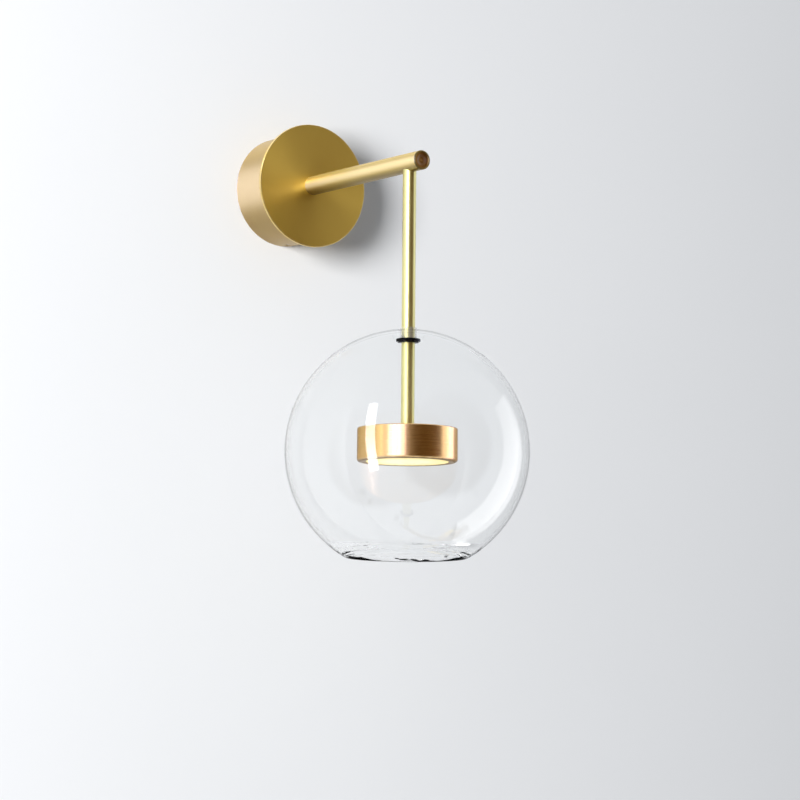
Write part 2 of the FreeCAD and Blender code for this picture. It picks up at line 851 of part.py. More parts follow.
def make_globe_washer():
    """Soft washer on the clip, which the glass rests on."""
    bore = rod_radius + size.fit_clearance
    return on_the_rod(ring("globe_washer", bore, size.washer_diameter / 2, washer_low, globe_seat))


def make_globe_bush():
    """Clear sleeve between the rod and the glass, standing a little above the globe."""
    top = globe_radius - size.globe_drop + size.bush_stand
    return on_the_rod(ring("globe_bush", bush_bore, bush_radius, globe_seat, top))


def make_globe():
    """Blown ball with a drilled, thickened neck and an open mouth below with a fire-rounded rim.

    The rim is a bead that touches the outside of the ball, and is a little thicker than its wall.
    """
    inner = globe_radius - size.globe_wall
    bead = size.globe_wall / 2 + size.globe_rim_swell
    bead_far = globe_radius - bead
    bead_drop = size.globe_rim_drop
    bead_out = side(bead_far, bead_drop)
    out = bead_out / bead_far
    drop = bead_drop / bead_far
    along = (inner * inner - bead * bead + bead_far * bead_far) / (2 * bead_far)
    aside = side(inner, along)
    edge = size.globe_edge_break
    land = globe_radius - size.globe_neck
    slope_end = size.globe_land_radius + size.globe_land_slope
    hole_top = side(globe_radius, globe_hole + edge)
    return on_the_rod(turned("globe", [
        line_to(globe_hole + edge, hole_top),
        arc_to(out * globe_radius, -drop * globe_radius, globe_radius, -1),
        arc_to(bead_out - drop * bead, -bead_drop - out * bead, bead, -1),
        arc_to(out * along + drop * aside, out * aside - drop * along, bead, -1),
        arc_to(slope_end, side(inner, slope_end), inner, 1),
        line_to(size.globe_land_radius, land),
        line_to(globe_hole + edge, land),
        line_to(globe_hole, land + edge),
        line_to(globe_hole, hole_top - edge),
    ]), -size.globe_drop)


def make_head_housing():
    """Turned cup, open below, with a soft top edge and a rounder rim."""
    low = -size.head_height
    top_round = size.head_top_round
    rim_round = size.head_rim_round
    return on_the_rod(turned("head_housing", [
        line_to(head_radius - rim_round, low),
        arc_to(head_radius, low + rim_round, rim_round, 1),
        line_to(head_radius, -top_round),
        arc_to(head_radius - top_round, 0, top_round, 1),
        line_to(thread_hole, 0),
        line_to(thread_hole, -size.head_top_wall),
        line_to(head_inside, -size.head_top_wall),
        line_to(head_inside, low),
    ]), -size.head_drop)


def make_head_lock_washer():
    """Washer between the heat sink's boss and the housing's top."""
    outer = size.lock_washer_diameter / 2
    washer = ring("head_lock_washer", thread_hole, outer, boss_top, -size.head_top_wall)
    return on_the_rod(washer, -size.head_drop)


def around(count, first_turn):
    """Directions evenly round a circle, as cosine and sine."""
    angles = [math.radians(first_turn + 360 * number / count) for number in range(count)]
    return [(math.cos(angle), math.sin(angle)) for angle in angles]


def screw_places():
    """Board screws midway between the rings of chips, as offsets from the axis."""
    ways = around(BOARD_SCREW_COUNT, 90)
    return [(board_screw_ring * right, board_screw_ring * back) for right, back in ways]


def make_heat_sink():
    """Aluminium plate whose tapped boss screws on the rod's foot and holds the housing up."""
    bore = size.rod_bore / 2
    boss = size.sink_boss_diameter / 2
    plate_radius = head_inside - size.sink_clearance
    sink = turned("heat_sink", [
        line_to(plate_radius, sink_low),
        line_to(plate_radius, boss_low),
        line_to(boss, boss_low),
        line_to(boss, boss_top),
        line_to(thread_radius, boss_top),
        line_to(thread_radius, boss_low),
        line_to(bore, boss_low),
        line_to(bore, sink_low),
    ])
    taps = new_sketch(sink, "XY_Plane", sink_low)
    for across, back in screw_places():
        draw_circle(taps, across, back, size.board_screw_diameter / 2)
    pocket(sink, taps, reverse=True, depth=size.board_screw_grip)
    return on_the_rod(sink, -size.head_drop)


def make_led_board():
    """Round aluminium-core board screwed under the heat sink."""
    board = ring("led_board", size.board_hole_diameter / 2, board_radius, board_low, sink_low)
    holes = new_sketch(board, "XY_Plane", sink_low)
    for across, back in screw_places():
        draw_circle(holes, across, back, size.board_screw_diameter / 2 + size.thread_clearance)
    pocket(board, holes)
    return on_the_rod(board, -size.head_drop)


def make_board_screws():
    """Screws up through the board into the heat sink."""
    shank = size.board_screw_diameter / 2
    head = size.board_screw_head_diameter / 2
    tip = size.board_thickness + size.board_screw_grip - size.thread_clearance
    outline = screw_outline(shank, head, -tip, 0, size.board_screw_head_height)
    screws = []
    for number, (across, back) in enumerate(screw_places(), start=1):
        screw = turned(f"board_screw_{number}", outline)
        screw.Placement.Rotation = FreeCAD.Rotation(FreeCAD.Vector(1, 0, 0), 180)
        place(screw, across, back - size.rod_reach, board_low - size.head_drop)
        screws.append(screw)
    return group("board_screws", screws)


def make_board_connector():
    """Plug-in connector over the board's middle hole, where the lead ends."""
    connector = block("board_connector", size.connector_length, size.connector_width, size.connector_height)
    low = board_low - size.connector_height - size.head_drop
    place(connector, -size.connector_length / 2, -size.connector_width / 2 - size.rod_reach, low)
    return connector


def make_led_chips():
    """Light-emitting chips on two rings under the board."""
    places = [(size.chip_inner_ring, way) for way in around(CHIPS_ON_INNER_RING, 0)]
    places += [(chip_outer_ring, way) for way in around(CHIPS_ON_OUTER_RING, 0)]
    low = board_low - size.chip_height - size.head_drop
    chips = []
    for number, (radius, (right, back)) in enumerate(places, start=1):
        chip = block(f"led_chip_{number}", size.chip_length, size.chip_width, size.chip_height)
        left = radius * right - size.chip_length / 2
        front = radius * back - size.chip_width / 2 - size.rod_reach
        place(chip, left, front, low)
        chips.append(chip)
    return group("led_chips", chips)


def make_spacer_ring():
    """White ring that keeps the diffuser down on the bezel and off the chips."""
    outer = bezel_bore - size.spacer_clearance
    spacer = ring("spacer_ring", outer - size.spacer_wall, outer, diffuser_top, board_low)
    return on_the_rod(spacer, -size.head_drop)


def make_diffuser():
    """Opal disc, stepped so that its face is level with the bezel's lip."""
    face = lip_radius - size.diffuser_clearance
    flange = bezel_bore - size.diffuser_clearance
    return on_the_rod(turned("diffuser", [
        line_to(face, -size.head_height),
        line_to(face, lip_top),
        line_to(flange, lip_top),
        line_to(flange, diffuser_top),
        line_to(0, diffuser_top),
        line_to(0, -size.head_height),
    ]), -size.head_drop)


def make_bezel_ring():
    """Brass ring screwed into the housing's mouth, with the lip that carries the diffuser."""
    low = -size.head_height
    high = low + size.bezel_height
    return on_the_rod(turned("bezel_ring", [
        line_to(head_inside, low),
        line_to(head_inside, high),
        line_to(bezel_bore, high),
        line_to(bezel_bore, lip_top),
        line_to(lip_radius, lip_top),
        line_to(lip_radius, low),
    ]), -size.head_drop)


def wall_point(right, up, out):
    """A point by its offset to the right, its height and its distance from the wall."""
    right, up, out = (as_length(length).value for length in (right, up, out))
    return FreeCAD.Vector(right, -out, up)


def rounded_path(points, radii):
    """Straight runs between the points, with a tangent arc of the given radius at each inner one."""
    edges = []
    start = points[0]
    for before, corner, after, radius in zip(points, points[1:], points[2:], radii):
        back = (before - corner).normalize()
        ahead = (after - corner).normalize()
        half_turn = back.getAngle(ahead) / 2
        tangent = radius / math.tan(half_turn)
        middle = (back + ahead).normalize() * (radius / math.sin(half_turn) - radius)
        edges.append(Part.LineSegment(start, corner + back * tangent).toShape())
        edges.append(Part.Arc(corner + back * tangent, corner + middle, corner + ahead * tangent).toShape())
        start = corner + ahead * tangent
    edges.append(Part.LineSegment(start, points[-1]).toShape())
    return Part.Wire(edges)


def lead(label, points, radii, diameter):
    """A round lead swept along its route."""
    path = rounded_path(points, radii)
    section = Part.Wire(Part.Circle(points[0], points[1] - points[0], diameter.value / 2).toShape())
    piece = doc.addObject("Part::Feature", label)
    piece.Label = label
    piece.Shape = path.makePipeShell([section], True, True)
    share = piece.Shape.Volume / (math.pi * diameter.value ** 2 / 4 * path.Length)
    print(f"{label}: {path.Length:.1f} mm long, volume {share:.4f} of its section times its length")
    return piece


def make_led_lead():
    """Two-core lead from the driver's upper end, through nipple, arm and tee, down the rod to the board."""
    turn_up = driver_end + size.led_lead_loop
    turn_out = nipple_low - size.led_lead_drop
    rise = tee_lead_rise
    points = [
        wall_point(driver_offset, driver_end, driver_middle),
        wall_point(driver_offset, turn_up, driver_middle),
        wall_point(size.led_lead_aside, turn_up, turn_out),
        wall_point(0, 0, turn_out),
        wall_point(0, 0, size.canopy_depth + size.base_plug_length),
        wall_point(0, rise, tee_low - size.tee_length / 2),
        wall_point(0, rise, size.rod_reach),
        wall_point(0, board_low - size.head_drop, size.rod_reach),
    ]
    bend = size.lead_bend.value
    long_bend = size.lead_long_bend.value
    radii = [bend, bend, bend, long_bend, long_bend, rise.value]
    return lead("led_lead", points, radii, size.lead_diameter)


def make_mains_lead(label, pole, way):
    """Single wire from a pole of the terminal block, down beside the driver and round into its lower end."""
    aside = size.terminal_width / 2 + size.mains_lead_aside + way * size.mains_lead_spacing / 2
    end = driver_offset - size.driver_wire_inset + way * size.driver_wire_spacing / 2
    turn_up = -driver_end - size.mains_lead_loop
    points = [
        wall_point(0, pole_up(pole), terminal_bore_out),
        wall_point(aside, pole_up(pole), terminal_bore_out),
        wall_point(aside, turn_up, terminal_bore_out),
        wall_point(end, turn_up, driver_middle),
        wall_point(end, -driver_end, driver_middle),
    ]
    bend = size.wire_bend.value
    return lead(label, points, [bend, bend, bend], size.wire_diameter)


def make_earth_lead():
    """Earth wire from the highest pole, round the side of the strap to the barrel of the earth tag."""
    aside = -size.bracket_width / 2 - size.earth_lead_margin
    barrel_end = size.earth_tag_thickness - size.earth_tag_length - size.earth_barrel_length
    points = [
        wall_point(0, pole_up(1), terminal_bore_out),
        wall_point(aside, pole_up(1), terminal_bore_out),
        wall_point(aside, size.earth_rise, earth_barrel_middle),
        wall_point(barrel_end, size.earth_rise, earth_barrel_middle),
    ]
    bend = size.wire_bend.value
    return lead("earth_lead", points, [bend, bend], size.wire_diameter)


PIECES = [
    make_wall_bracket(),
    make_cable_bush(),
    make_earth_screw(),
    make_earth_tag(),
    make_terminal_block(),
    make_terminal_clamps(),
    make_terminal_screws(),
    make_canopy(),
    make_canopy_cover(),
    make_grub_screws(),
    make_driver(),
    make_driver_pad(),
    make_mains_lead("live_lead", -1, -1),
    make_mains_lead("neutral_lead", 0, 1),
    make_earth_lead(),
    make_led_lead(),
    make_arm_nipple(),
    make_arm_lock_washer(),
    make_arm_lock_nut(),
    make_arm_base_plug(),
    make_arm_tube(),
    make_arm_end_plug(),
    make_arm_tee(),
    make_rod(),
    make_globe_clip(),
    make_globe_washer(),
    make_globe_bush(),
    make_globe(),
    make_head_housing(),
    make_head_lock_washer(),
    make_heat_sink(),
    make_led_board(),
    make_led_chips(),
    make_board_screws(),
    make_board_connector(),
    make_spacer_ring(),
    make_diffuser(),
    make_bezel_ring(),
]
doc.recompute()

failed = [item.Label for item in doc.Objects if {"Invalid", "Error"} & set(item.State)]
if failed:
    raise RuntimeError(f"failed objects: {failed}")
for piece in PIECES:
    if piece.Shape.isNull() or not piece.Shape.isValid() or not piece.Shape.Solids:
        raise RuntimeError(f"no sound solid in {piece.Label}")

os.makedirs("parts", exist_ok=True)
for piece in PIECES:
    piece.Shape.exportStep(f"parts/{piece.Label}.step")
    box = piece.Shape.BoundBox
    spans = f"{box.XLength:.1f} x {box.YLength:.1f} x {box.ZLength:.1f} mm"
    print(f"{piece.Label}: {len(piece.Shape.Solids)} solids, {piece.Shape.Volume:.0f} mm3, {spans}")
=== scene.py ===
# %% [markdown]
# # A globe wall light
#
# The object is a brass wall sconce: a round canopy, a straight arm, a thin rod, and a clear glass globe round a
# lit disc-shaped lamp head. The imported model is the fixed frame. Its nodes stay where they are, and this lesson
# dresses them with finishes, and replaces the few that deserve a finer surface.

# %% Load the frame
import math

import bpy
import numpy as np
from mathutils import Matrix, Quaternion, Vector


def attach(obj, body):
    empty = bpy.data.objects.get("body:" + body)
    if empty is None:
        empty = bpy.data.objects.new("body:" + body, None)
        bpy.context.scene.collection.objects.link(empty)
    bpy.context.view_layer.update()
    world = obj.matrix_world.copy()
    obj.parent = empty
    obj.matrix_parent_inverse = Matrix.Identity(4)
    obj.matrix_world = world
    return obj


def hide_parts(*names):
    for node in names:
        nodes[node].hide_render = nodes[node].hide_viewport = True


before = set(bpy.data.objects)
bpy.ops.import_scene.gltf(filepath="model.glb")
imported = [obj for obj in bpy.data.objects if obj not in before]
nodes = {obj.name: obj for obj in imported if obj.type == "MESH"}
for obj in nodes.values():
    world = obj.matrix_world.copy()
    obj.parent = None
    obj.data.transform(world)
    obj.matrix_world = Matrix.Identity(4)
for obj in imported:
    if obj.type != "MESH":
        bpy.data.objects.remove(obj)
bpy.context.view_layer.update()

scene = bpy.context.scene
scene.view_settings.view_transform = "Standard"
MM = 0.001

# %% [markdown]
# ## Camera
#
# The picture was taken from the left and from a little below the lamp, with a long lens, so the ellipses of
# canopy and head are almost free of perspective. A camera can be placed by hand until it looks right. Here its
# place is worked out from four plain numbers instead: how far it is turned, tipped and rolled, and its distance.

# %% Camera
CAMERA_TURN = math.radians(-33.877)
CAMERA_TIP = math.radians(-6.169)
CAMERA_ROLL = math.radians(0.506)
CAMERA_DISTANCE = 3.2697
LOOKED_AT = Vector((0.00049, -0.1830, -0.19468))

back = Vector((math.sin(CAMERA_TURN) * math.cos(CAMERA_TIP),
               -math.cos(CAMERA_TURN) * math.cos(CAMERA_TIP),
               math.sin(CAMERA_TIP)))
level = Vector((math.cos(CAMERA_TURN), math.sin(CAMERA_TURN), 0))
upright = back.cross(level)
right = level * math.cos(CAMERA_ROLL) + upright * math.sin(CAMERA_ROLL)
up = upright * math.cos(CAMERA_ROLL) - level * math.sin(CAMERA_ROLL)

camera = bpy.data.objects.new("camera", bpy.data.cameras.new("camera"))
scene.collection.objects.link(camera)
camera.data.sensor_width = 36
camera.data.lens = 180
camera.data.clip_end = 50
camera.matrix_world = Matrix.Translation(LOOKED_AT + back * CAMERA_DISTANCE) @ Matrix(
    (right, up, back)).transposed().to_4x4()
scene.camera = camera
print("camera at", [round(value, 3) for value in camera.matrix_world.translation])

# %% [markdown]
# ## Surfaces from grids
#
# Every new surface in this lesson is a grid of points that numpy works out in one go. Most pieces here are turned
# on a lathe or blown, so they are surfaces of revolution. The mesh only has to know which points are neighbours,
# where the grid closes on itself, and where a row shrinks to one point.

# %% Grid to mesh
def grid_piece(name, points, wrap_rows=False, wrap_columns=True):
    """Object whose mesh joins a grid of points, rows by columns, into quads.

    Each point is joined to the next in its row and in its column, and the last to the first where that way wraps.
    A row whose points all meet, as at the pole of a ball, becomes one vertex with a fan of triangles.
    """
    rows, columns = points.shape[:2]
    index = np.arange(rows * columns).reshape(rows, columns)
    meets = np.ptp(points, axis=1).max(axis=1) < 1e-9
    index[meets] = index[meets][:, :1]
    if wrap_rows:
        index = np.vstack([index, index[:1]])
    if wrap_columns:
        index = np.hstack([index, index[:, :1]])
    quads = np.stack([index[:-1, :-1], index[:-1, 1:], index[1:, 1:], index[1:, :-1]], axis=-1).reshape(-1, 4)
    first_fan = quads[:, 0] == quads[:, 1]
    last_fan = quads[:, 2] == quads[:, 3]
    used, flat = np.unique(quads, return_inverse=True)
    quads = flat.reshape(-1, 4)
    faces = quads[~(first_fan | last_fan)].tolist()
    faces += quads[first_fan & ~last_fan][:, [0, 2, 3]].tolist()
    faces += quads[last_fan & ~first_fan][:, [0, 1, 2]].tolist()
    mesh = bpy.data.meshes.new(name)
    mesh.from_pydata(points.reshape(-1, 3)[used], [], faces)
    mesh.shade_smooth()
    piece = bpy.data.objects.new(name, mesh)
    scene.collection.objects.link(piece)
    print(name, "has", len(faces), "faces")
    return piece


# %% [markdown]
# ## Wall
#
# The light hangs on a pale wall in a pale room. The wall is a grid that runs from a round hole behind the canopy
# out to a rectangle, so that the canopy's open back can be looked into from behind. The sheet is made see-through
# from the back for the same reason. A plain plane would do for the front view alone.

# %% Wall
WALL_HOLE = 0.044
WALL_SIDE = 3.2
WALL_RISE = 2.4


def wall_grid(columns=96, rows=12):
    """Points p(s, t) = (1 - s) * hole + s * frame at the angle t.

    The hole is a circle round the arm's axis, and the frame is where the same ray leaves a rectangle.
    """
    angle = np.linspace(0, 2 * np.pi, columns, endpoint=False)
    across, rise = np.cos(angle), np.sin(angle)
    far = np.minimum(WALL_SIDE / np.maximum(np.abs(across), 1e-6), WALL_RISE / np.maximum(np.abs(rise), 1e-6))
    share = np.linspace(0, 1, rows)[:, None] ** 2
    reach = (1 - share) * WALL_HOLE + share * far
    return np.stack([reach * across, 0 * reach, reach * rise], axis=-1)


wall = grid_piece("wall", wall_grid()[::-1])
print("wall faces", [round(value, 2) for value in wall.data.polygons[0].normal])

# %% [markdown]
# ## Node helpers
#
# Finishes are node trees. A few helpers keep the trees readable: one links or sets a socket, the others add the
# usual calculating nodes and hand back their outputs, so that a finish reads like a formula.

# %% Node helpers
def put(tree, socket, value):
    """Links the socket to another node's output, or sets it to a plain value."""
    if isinstance(value, bpy.types.NodeSocket):
        tree.links.new(value, socket)
    else:
        socket.default_value = value


def calc(tree, operation, first, second=0.0, clamp=False):
    """Output of a Math node."""
    node = tree.nodes.new("ShaderNodeMath")
    node.operation = operation
    node.use_clamp = clamp
    put(tree, node.inputs[0], first)
    put(tree, node.inputs[1], second)
    return node.outputs[0]


def vector_calc(tree, operation, first, second=(0, 0, 0)):
    """Output of a Vector Math node: a number for lengths and dot products, otherwise a vector."""
    node = tree.nodes.new("ShaderNodeVectorMath")
    node.operation = operation
    put(tree, node.inputs[0], first)
    put(tree, node.inputs["Scale"] if operation == "SCALE" else node.inputs[1], second)
    return node.outputs["Value" if operation in ("LENGTH", "DOT_PRODUCT") else "Vector"]


def ramp(tree, value, low, high, to_low=0.0, to_high=1.0, smooth=True):
    """Value carried from one span to another, held at the ends."""
    node = tree.nodes.new("ShaderNodeMapRange")
    node.interpolation_type = "SMOOTHSTEP" if smooth else "LINEAR"
    for socket, number in zip(node.inputs[:5], (value, low, high, to_low, to_high)):
        put(tree, socket, number)
    return node.outputs[0]


def tint(tree, share, first, second):
    """Colour between two colours."""
    node = tree.nodes.new("ShaderNodeMix")
    node.data_type = "RGBA"
    put(tree, node.inputs[0], share)
    put(tree, node.inputs[6], first)
    put(tree, node.inputs[7], second)
    return node.outputs[2]


def noise(tree, place, scale, detail=3.0):
    """Smooth noise from 0 to 1. A number as the place gives noise along one line, a vector noise in space."""
    node = tree.nodes.new("ShaderNodeTexNoise")
    along_line = place.type == "VALUE"
    node.noise_dimensions = "1D" if along_line else "3D"
    put(tree, node.inputs["W" if along_line else "Vector"], place)
    node.inputs["Scale"].default_value = scale
    node.inputs["Detail"].default_value = detail
    return node.outputs[0]


def bump(tree, height, depth, strength=0.3, over=None):
    """Normal of a surface with a relief of that depth, in metres, that may lie over another relief."""
    node = tree.nodes.new("ShaderNodeBump")
    node.inputs["Strength"].default_value = strength
    node.inputs["Distance"].default_value = depth
    put(tree, node.inputs["Height"], height)
    if over is not None:
        put(tree, node.inputs["Normal"], over)
    return node.outputs[0]


def new_finish(name):
    """Empty material with its tree, Principled shader, output and Object coordinates."""
    material = bpy.data.materials.new(name)
    material.use_nodes = True
    tree = material.node_tree
    shader = tree.nodes["Principled BSDF"]
    output = tree.nodes["Material Output"]
    place = tree.nodes.new("ShaderNodeTexCoord").outputs["Object"]
    return material, tree, shader, output, place


print("node helpers ready")

# %% [markdown]
# ## Wall paint
#
# Smooth matt paint, hardly structured. Geometry's Backfacing mixes in a Transparent shader, so the sheet shows
# from the room alone.

# %% Wall paint
def matt_paint(name, colour, shade, grain):
    """Matt paint with faint clouds and a fine roller grain, seen from its front only."""
    material, tree, shader, output, place = new_finish(name)
    clouds = noise(tree, place, 1.4)
    put(tree, shader.inputs["Base Color"], tint(tree, ramp(tree, clouds, 0.35, 0.65), colour, shade))
    shader.inputs["Roughness"].default_value = 0.9
    shader.inputs["Specular IOR Level"].default_value = 0.2
    put(tree, shader.inputs["Normal"], bump(tree, noise(tree, place, grain), 0.0004, 0.05))
    facing = tree.nodes.new("ShaderNodeNewGeometry").outputs["Backfacing"]
    mix = tree.nodes.new("ShaderNodeMixShader")
    put(tree, mix.inputs[0], facing)
    put(tree, mix.inputs[1], shader.outputs[0])
    put(tree, mix.inputs[2], tree.nodes.new("ShaderNodeBsdfTransparent").outputs[0])
    put(tree, output.inputs["Surface"], mix.outputs[0])
    return material


wall.data.materials.append(matt_paint("wall_paint", (0.88, 0.89, 0.905, 1), (0.865, 0.875, 0.89, 1), 700.0))
print("painted", wall.name)

# %% [markdown]
# ## Studio light
#
# Brass and glass show the room more than themselves, so the lamps decide how they look. Tall strips on the left draw
# the pale bands on drum, arm, rod and head, strips on the right draw the head's right-hand band, and the room in
# front stays dim, which gives the brass its depth. The head hangs behind glass, where a row of narrow strong strips
# gives a cleaner band than one wide box. A photo turns strong light on brass almost white. To get the same, the lamps
# for brass lean towards blue, which takes the yellow out of those places. The glass has lamps of its own, which show
# as reflections in its front and nowhere else.

# %% Light panels
AIMED_AT = Vector((0, -0.193, -0.20))


def light_panel(name, turn, lift, distance, width, height, radiance, on_matt=False, mirrored=False,
                aimed_at=AIMED_AT, roll=0, colour=(1, 1, 1)):
    """Rectangular soft box in a direction, in degrees, for matt surfaces or for the reflections in glossy ones.

    A flat lamp of area A with the radiance L gives out pi * A * L. Brass that throws a lamp's light on to the wall
    would leave coloured specks there, so the lamps for glossy surfaces are dark for rays that come from matt ones.
    A mirrored lamp is also dark for rays that nothing has reflected yet, and for those that have passed more than
    two faces of glass, so it shows on the glass and not through it. The roll turns the box in its own plane.
    """
    lamp = bpy.data.lights.new(name, "AREA")
    lamp.shape = "RECTANGLE"
    lamp.size, lamp.size_y = width, height
    lamp.energy = math.pi * width * height * radiance
    lamp.color = colour
    panel = bpy.data.objects.new(name, lamp)
    scene.collection.objects.link(panel)
    turn, lift = math.radians(turn), math.radians(lift)
    way = Vector((math.sin(turn) * math.cos(lift), -math.cos(turn) * math.cos(lift), math.sin(lift)))
    panel.location = aimed_at + way * distance
    panel.rotation_mode = "QUATERNION"
    panel.rotation_quaternion = way.to_track_quat("Z", "Y") @ Quaternion((0, 0, 1), math.radians(roll))
    panel.visible_camera = False
    panel.visible_diffuse = on_matt
    panel.visible_glossy = panel.visible_transmission = not on_matt
    if not on_matt:
        lamp.use_nodes = True
        tree = lamp.node_tree
        bounces = tree.nodes.new("ShaderNodeLightPath").outputs
        strength = calc(tree, "LESS_THAN", bounces["Diffuse Depth"], 0.5)
        if mirrored:
            reflected = calc(tree, "GREATER_THAN", bounces["Glossy Depth"], 0.5)
            in_front = calc(tree, "LESS_THAN", bounces["Transmission Depth"], 2.5)
            strength = calc(tree, "MULTIPLY", strength, calc(tree, "MULTIPLY", reflected, in_front))
        put(tree, tree.nodes["Emission"].inputs["Strength"], strength)
    print(name, "at", [round(value, 2) for value in panel.location])
    return panel


soft_key = light_panel("soft_key", -57, 4, 3.4, 1.2, 1.2, 36.5, on_matt=True)
left_strip = light_panel("left_strip", -68.5, 8, 3.0, 0.48, 3.5, 15.0, mirrored=True, roll=5)

# %% [markdown]
# The strips for the head are listed by the direction they stand in, with their radiance and how much they lean
# towards blue. Canopy and arm share a strip and a box, and the rod has the same pair in white.

# %% Strips for brass
HEAD_STRIPS = {-82: (9.0, 2.0), -69: (34.0, 2.3), -57: (30.0, 2.3), -47: (26.0, 2.3), -39: (9.0, 1.0),
               -32: (4.0, 1.0), 68: (5.0, 1.6), 78: (18.0, 2.0), 87: (45.0, 2.3)}
PALE = (0.97, 1.22, 3.2)
head_lamps = [light_panel(f"head_strip_{turn}", turn, 8, 3.0, 0.15, 2.6, radiance, colour=(1.0, 1.0, blue))
              for turn, (radiance, blue) in HEAD_STRIPS.items()]
canopy_lamps = [light_panel("canopy_strip", -68.5, 8, 3.0, 0.50, 3.5, 13.0, colour=PALE),
                light_panel("canopy_box", -55, 12, 3.0, 0.80, 2.6, 4.0, colour=PALE)]
rod_lamps = [light_panel("rod_strip", -68.5, 8, 3.0, 0.50, 3.5, 13.0),
             light_panel("rod_box", -55, 12, 3.0, 0.80, 2.6, 4.0)]

# %% [markdown]
# The disc has a box high on the left, the head a panel on the right, the glass a fainter one, and all brass a touch
# of light from above. A lamp behind the wall lights the canopy's open back.

# %% Other lamps
disc_box = light_panel("disc_box", -64, 42, 1.6, 0.8, 0.8, 9.0)
right_panel = light_panel("right_panel", 85, -4, 1.2, 0.90, 2.3, 8.0, colour=(1.0, 1.02, 2.3))
right_glow = light_panel("right_glow", 83, -15, 1.2, 0.80, 2.2, 1.1, mirrored=True)
top_panel = light_panel("top_panel", -70, 78, 1.3, 0.8, 0.8, 1.4)
light_panel("back_panel", 180, 0, 1.2, 0.5, 0.5, 6.0, on_matt=True, aimed_at=Vector((0, 0, 0)))

# %% [markdown]
# The world is the rest of the room. It gives matt surfaces an even, slightly cool light. Polished ones see more of
# it: a pale room that is dim in front of the wall light, where nothing is lit. Past the wall's edge, also straight
# through the glass, there is a plain pale backdrop.

# %% Room
ROOM_LIGHT = (0.215, 0.223, 0.235, 1)
ROOM_PALE = (1.05, 1.06, 1.08, 1)
ROOM_DIM = (0.10, 0.047, 0.004, 1)
FLOOR_DIM = (0.22, 0.19, 0.15, 1)
BACKGROUND = (0.84, 0.85, 0.87, 1)

world = bpy.data.worlds.new("room")
scene.world = world
world.use_nodes = True
world.cycles.sampling_method = "NONE"
tree = world.node_tree
way = tree.nodes.new("ShaderNodeTexCoord").outputs["Generated"]
ahead = vector_calc(tree, "DOT_PRODUCT", way, (0.09, -0.99, 0.05))
below = vector_calc(tree, "DOT_PRODUCT", way, (0.0, 0.0, -1.0))
rays = tree.nodes.new("ShaderNodeLightPath").outputs
rough_ray = calc(tree, "SUBTRACT", rays["Is Glossy Ray"], rays["Is Singular Ray"], clamp=True)
dim_below = calc(tree, "MULTIPLY", ramp(tree, below, 0.35, 0.75), rough_ray)
seen_in_gloss = tint(tree, ramp(tree, ahead, 0.62, 0.76), tint(tree, dim_below, ROOM_PALE, FLOOR_DIM), ROOM_DIM)
clear_ray = calc(tree, "MAXIMUM", rays["Is Glossy Ray"], rays["Is Transmission Ray"])
room = tint(tree, clear_ray, ROOM_LIGHT, seen_in_gloss)
unmirrored = calc(tree, "LESS_THAN", rays["Glossy Depth"], 0.5)
straight_ray = calc(tree, "MULTIPLY", rays["Is Transmission Ray"], unmirrored)
room = tint(tree, calc(tree, "MAXIMUM", rays["Is Camera Ray"], straight_ray), room, BACKGROUND)
put(tree, tree.nodes["Background"].inputs["Color"], room)
print("room light", ROOM_LIGHT[:3])

# %% [markdown]
# ## Satin brass
#
# Canopy, arm, rod and lamp head are turned brass under a satin lacquer. On a lathe the tool leaves fine rings, so
# light smears across them. The finish works out, from Object coordinates, how far a point is along the lathe's axis
# and how far from it. Their sum changes across the rings on a face and on a side alike, so one line of noise makes
# the rings. The same ring direction is the shader's tangent. Known edges get a thin pale line, partly polished wear
# and partly a painted highlight.

# %% Satin brass
ROD_AXIS = (0.0, 0.0, 1.0)


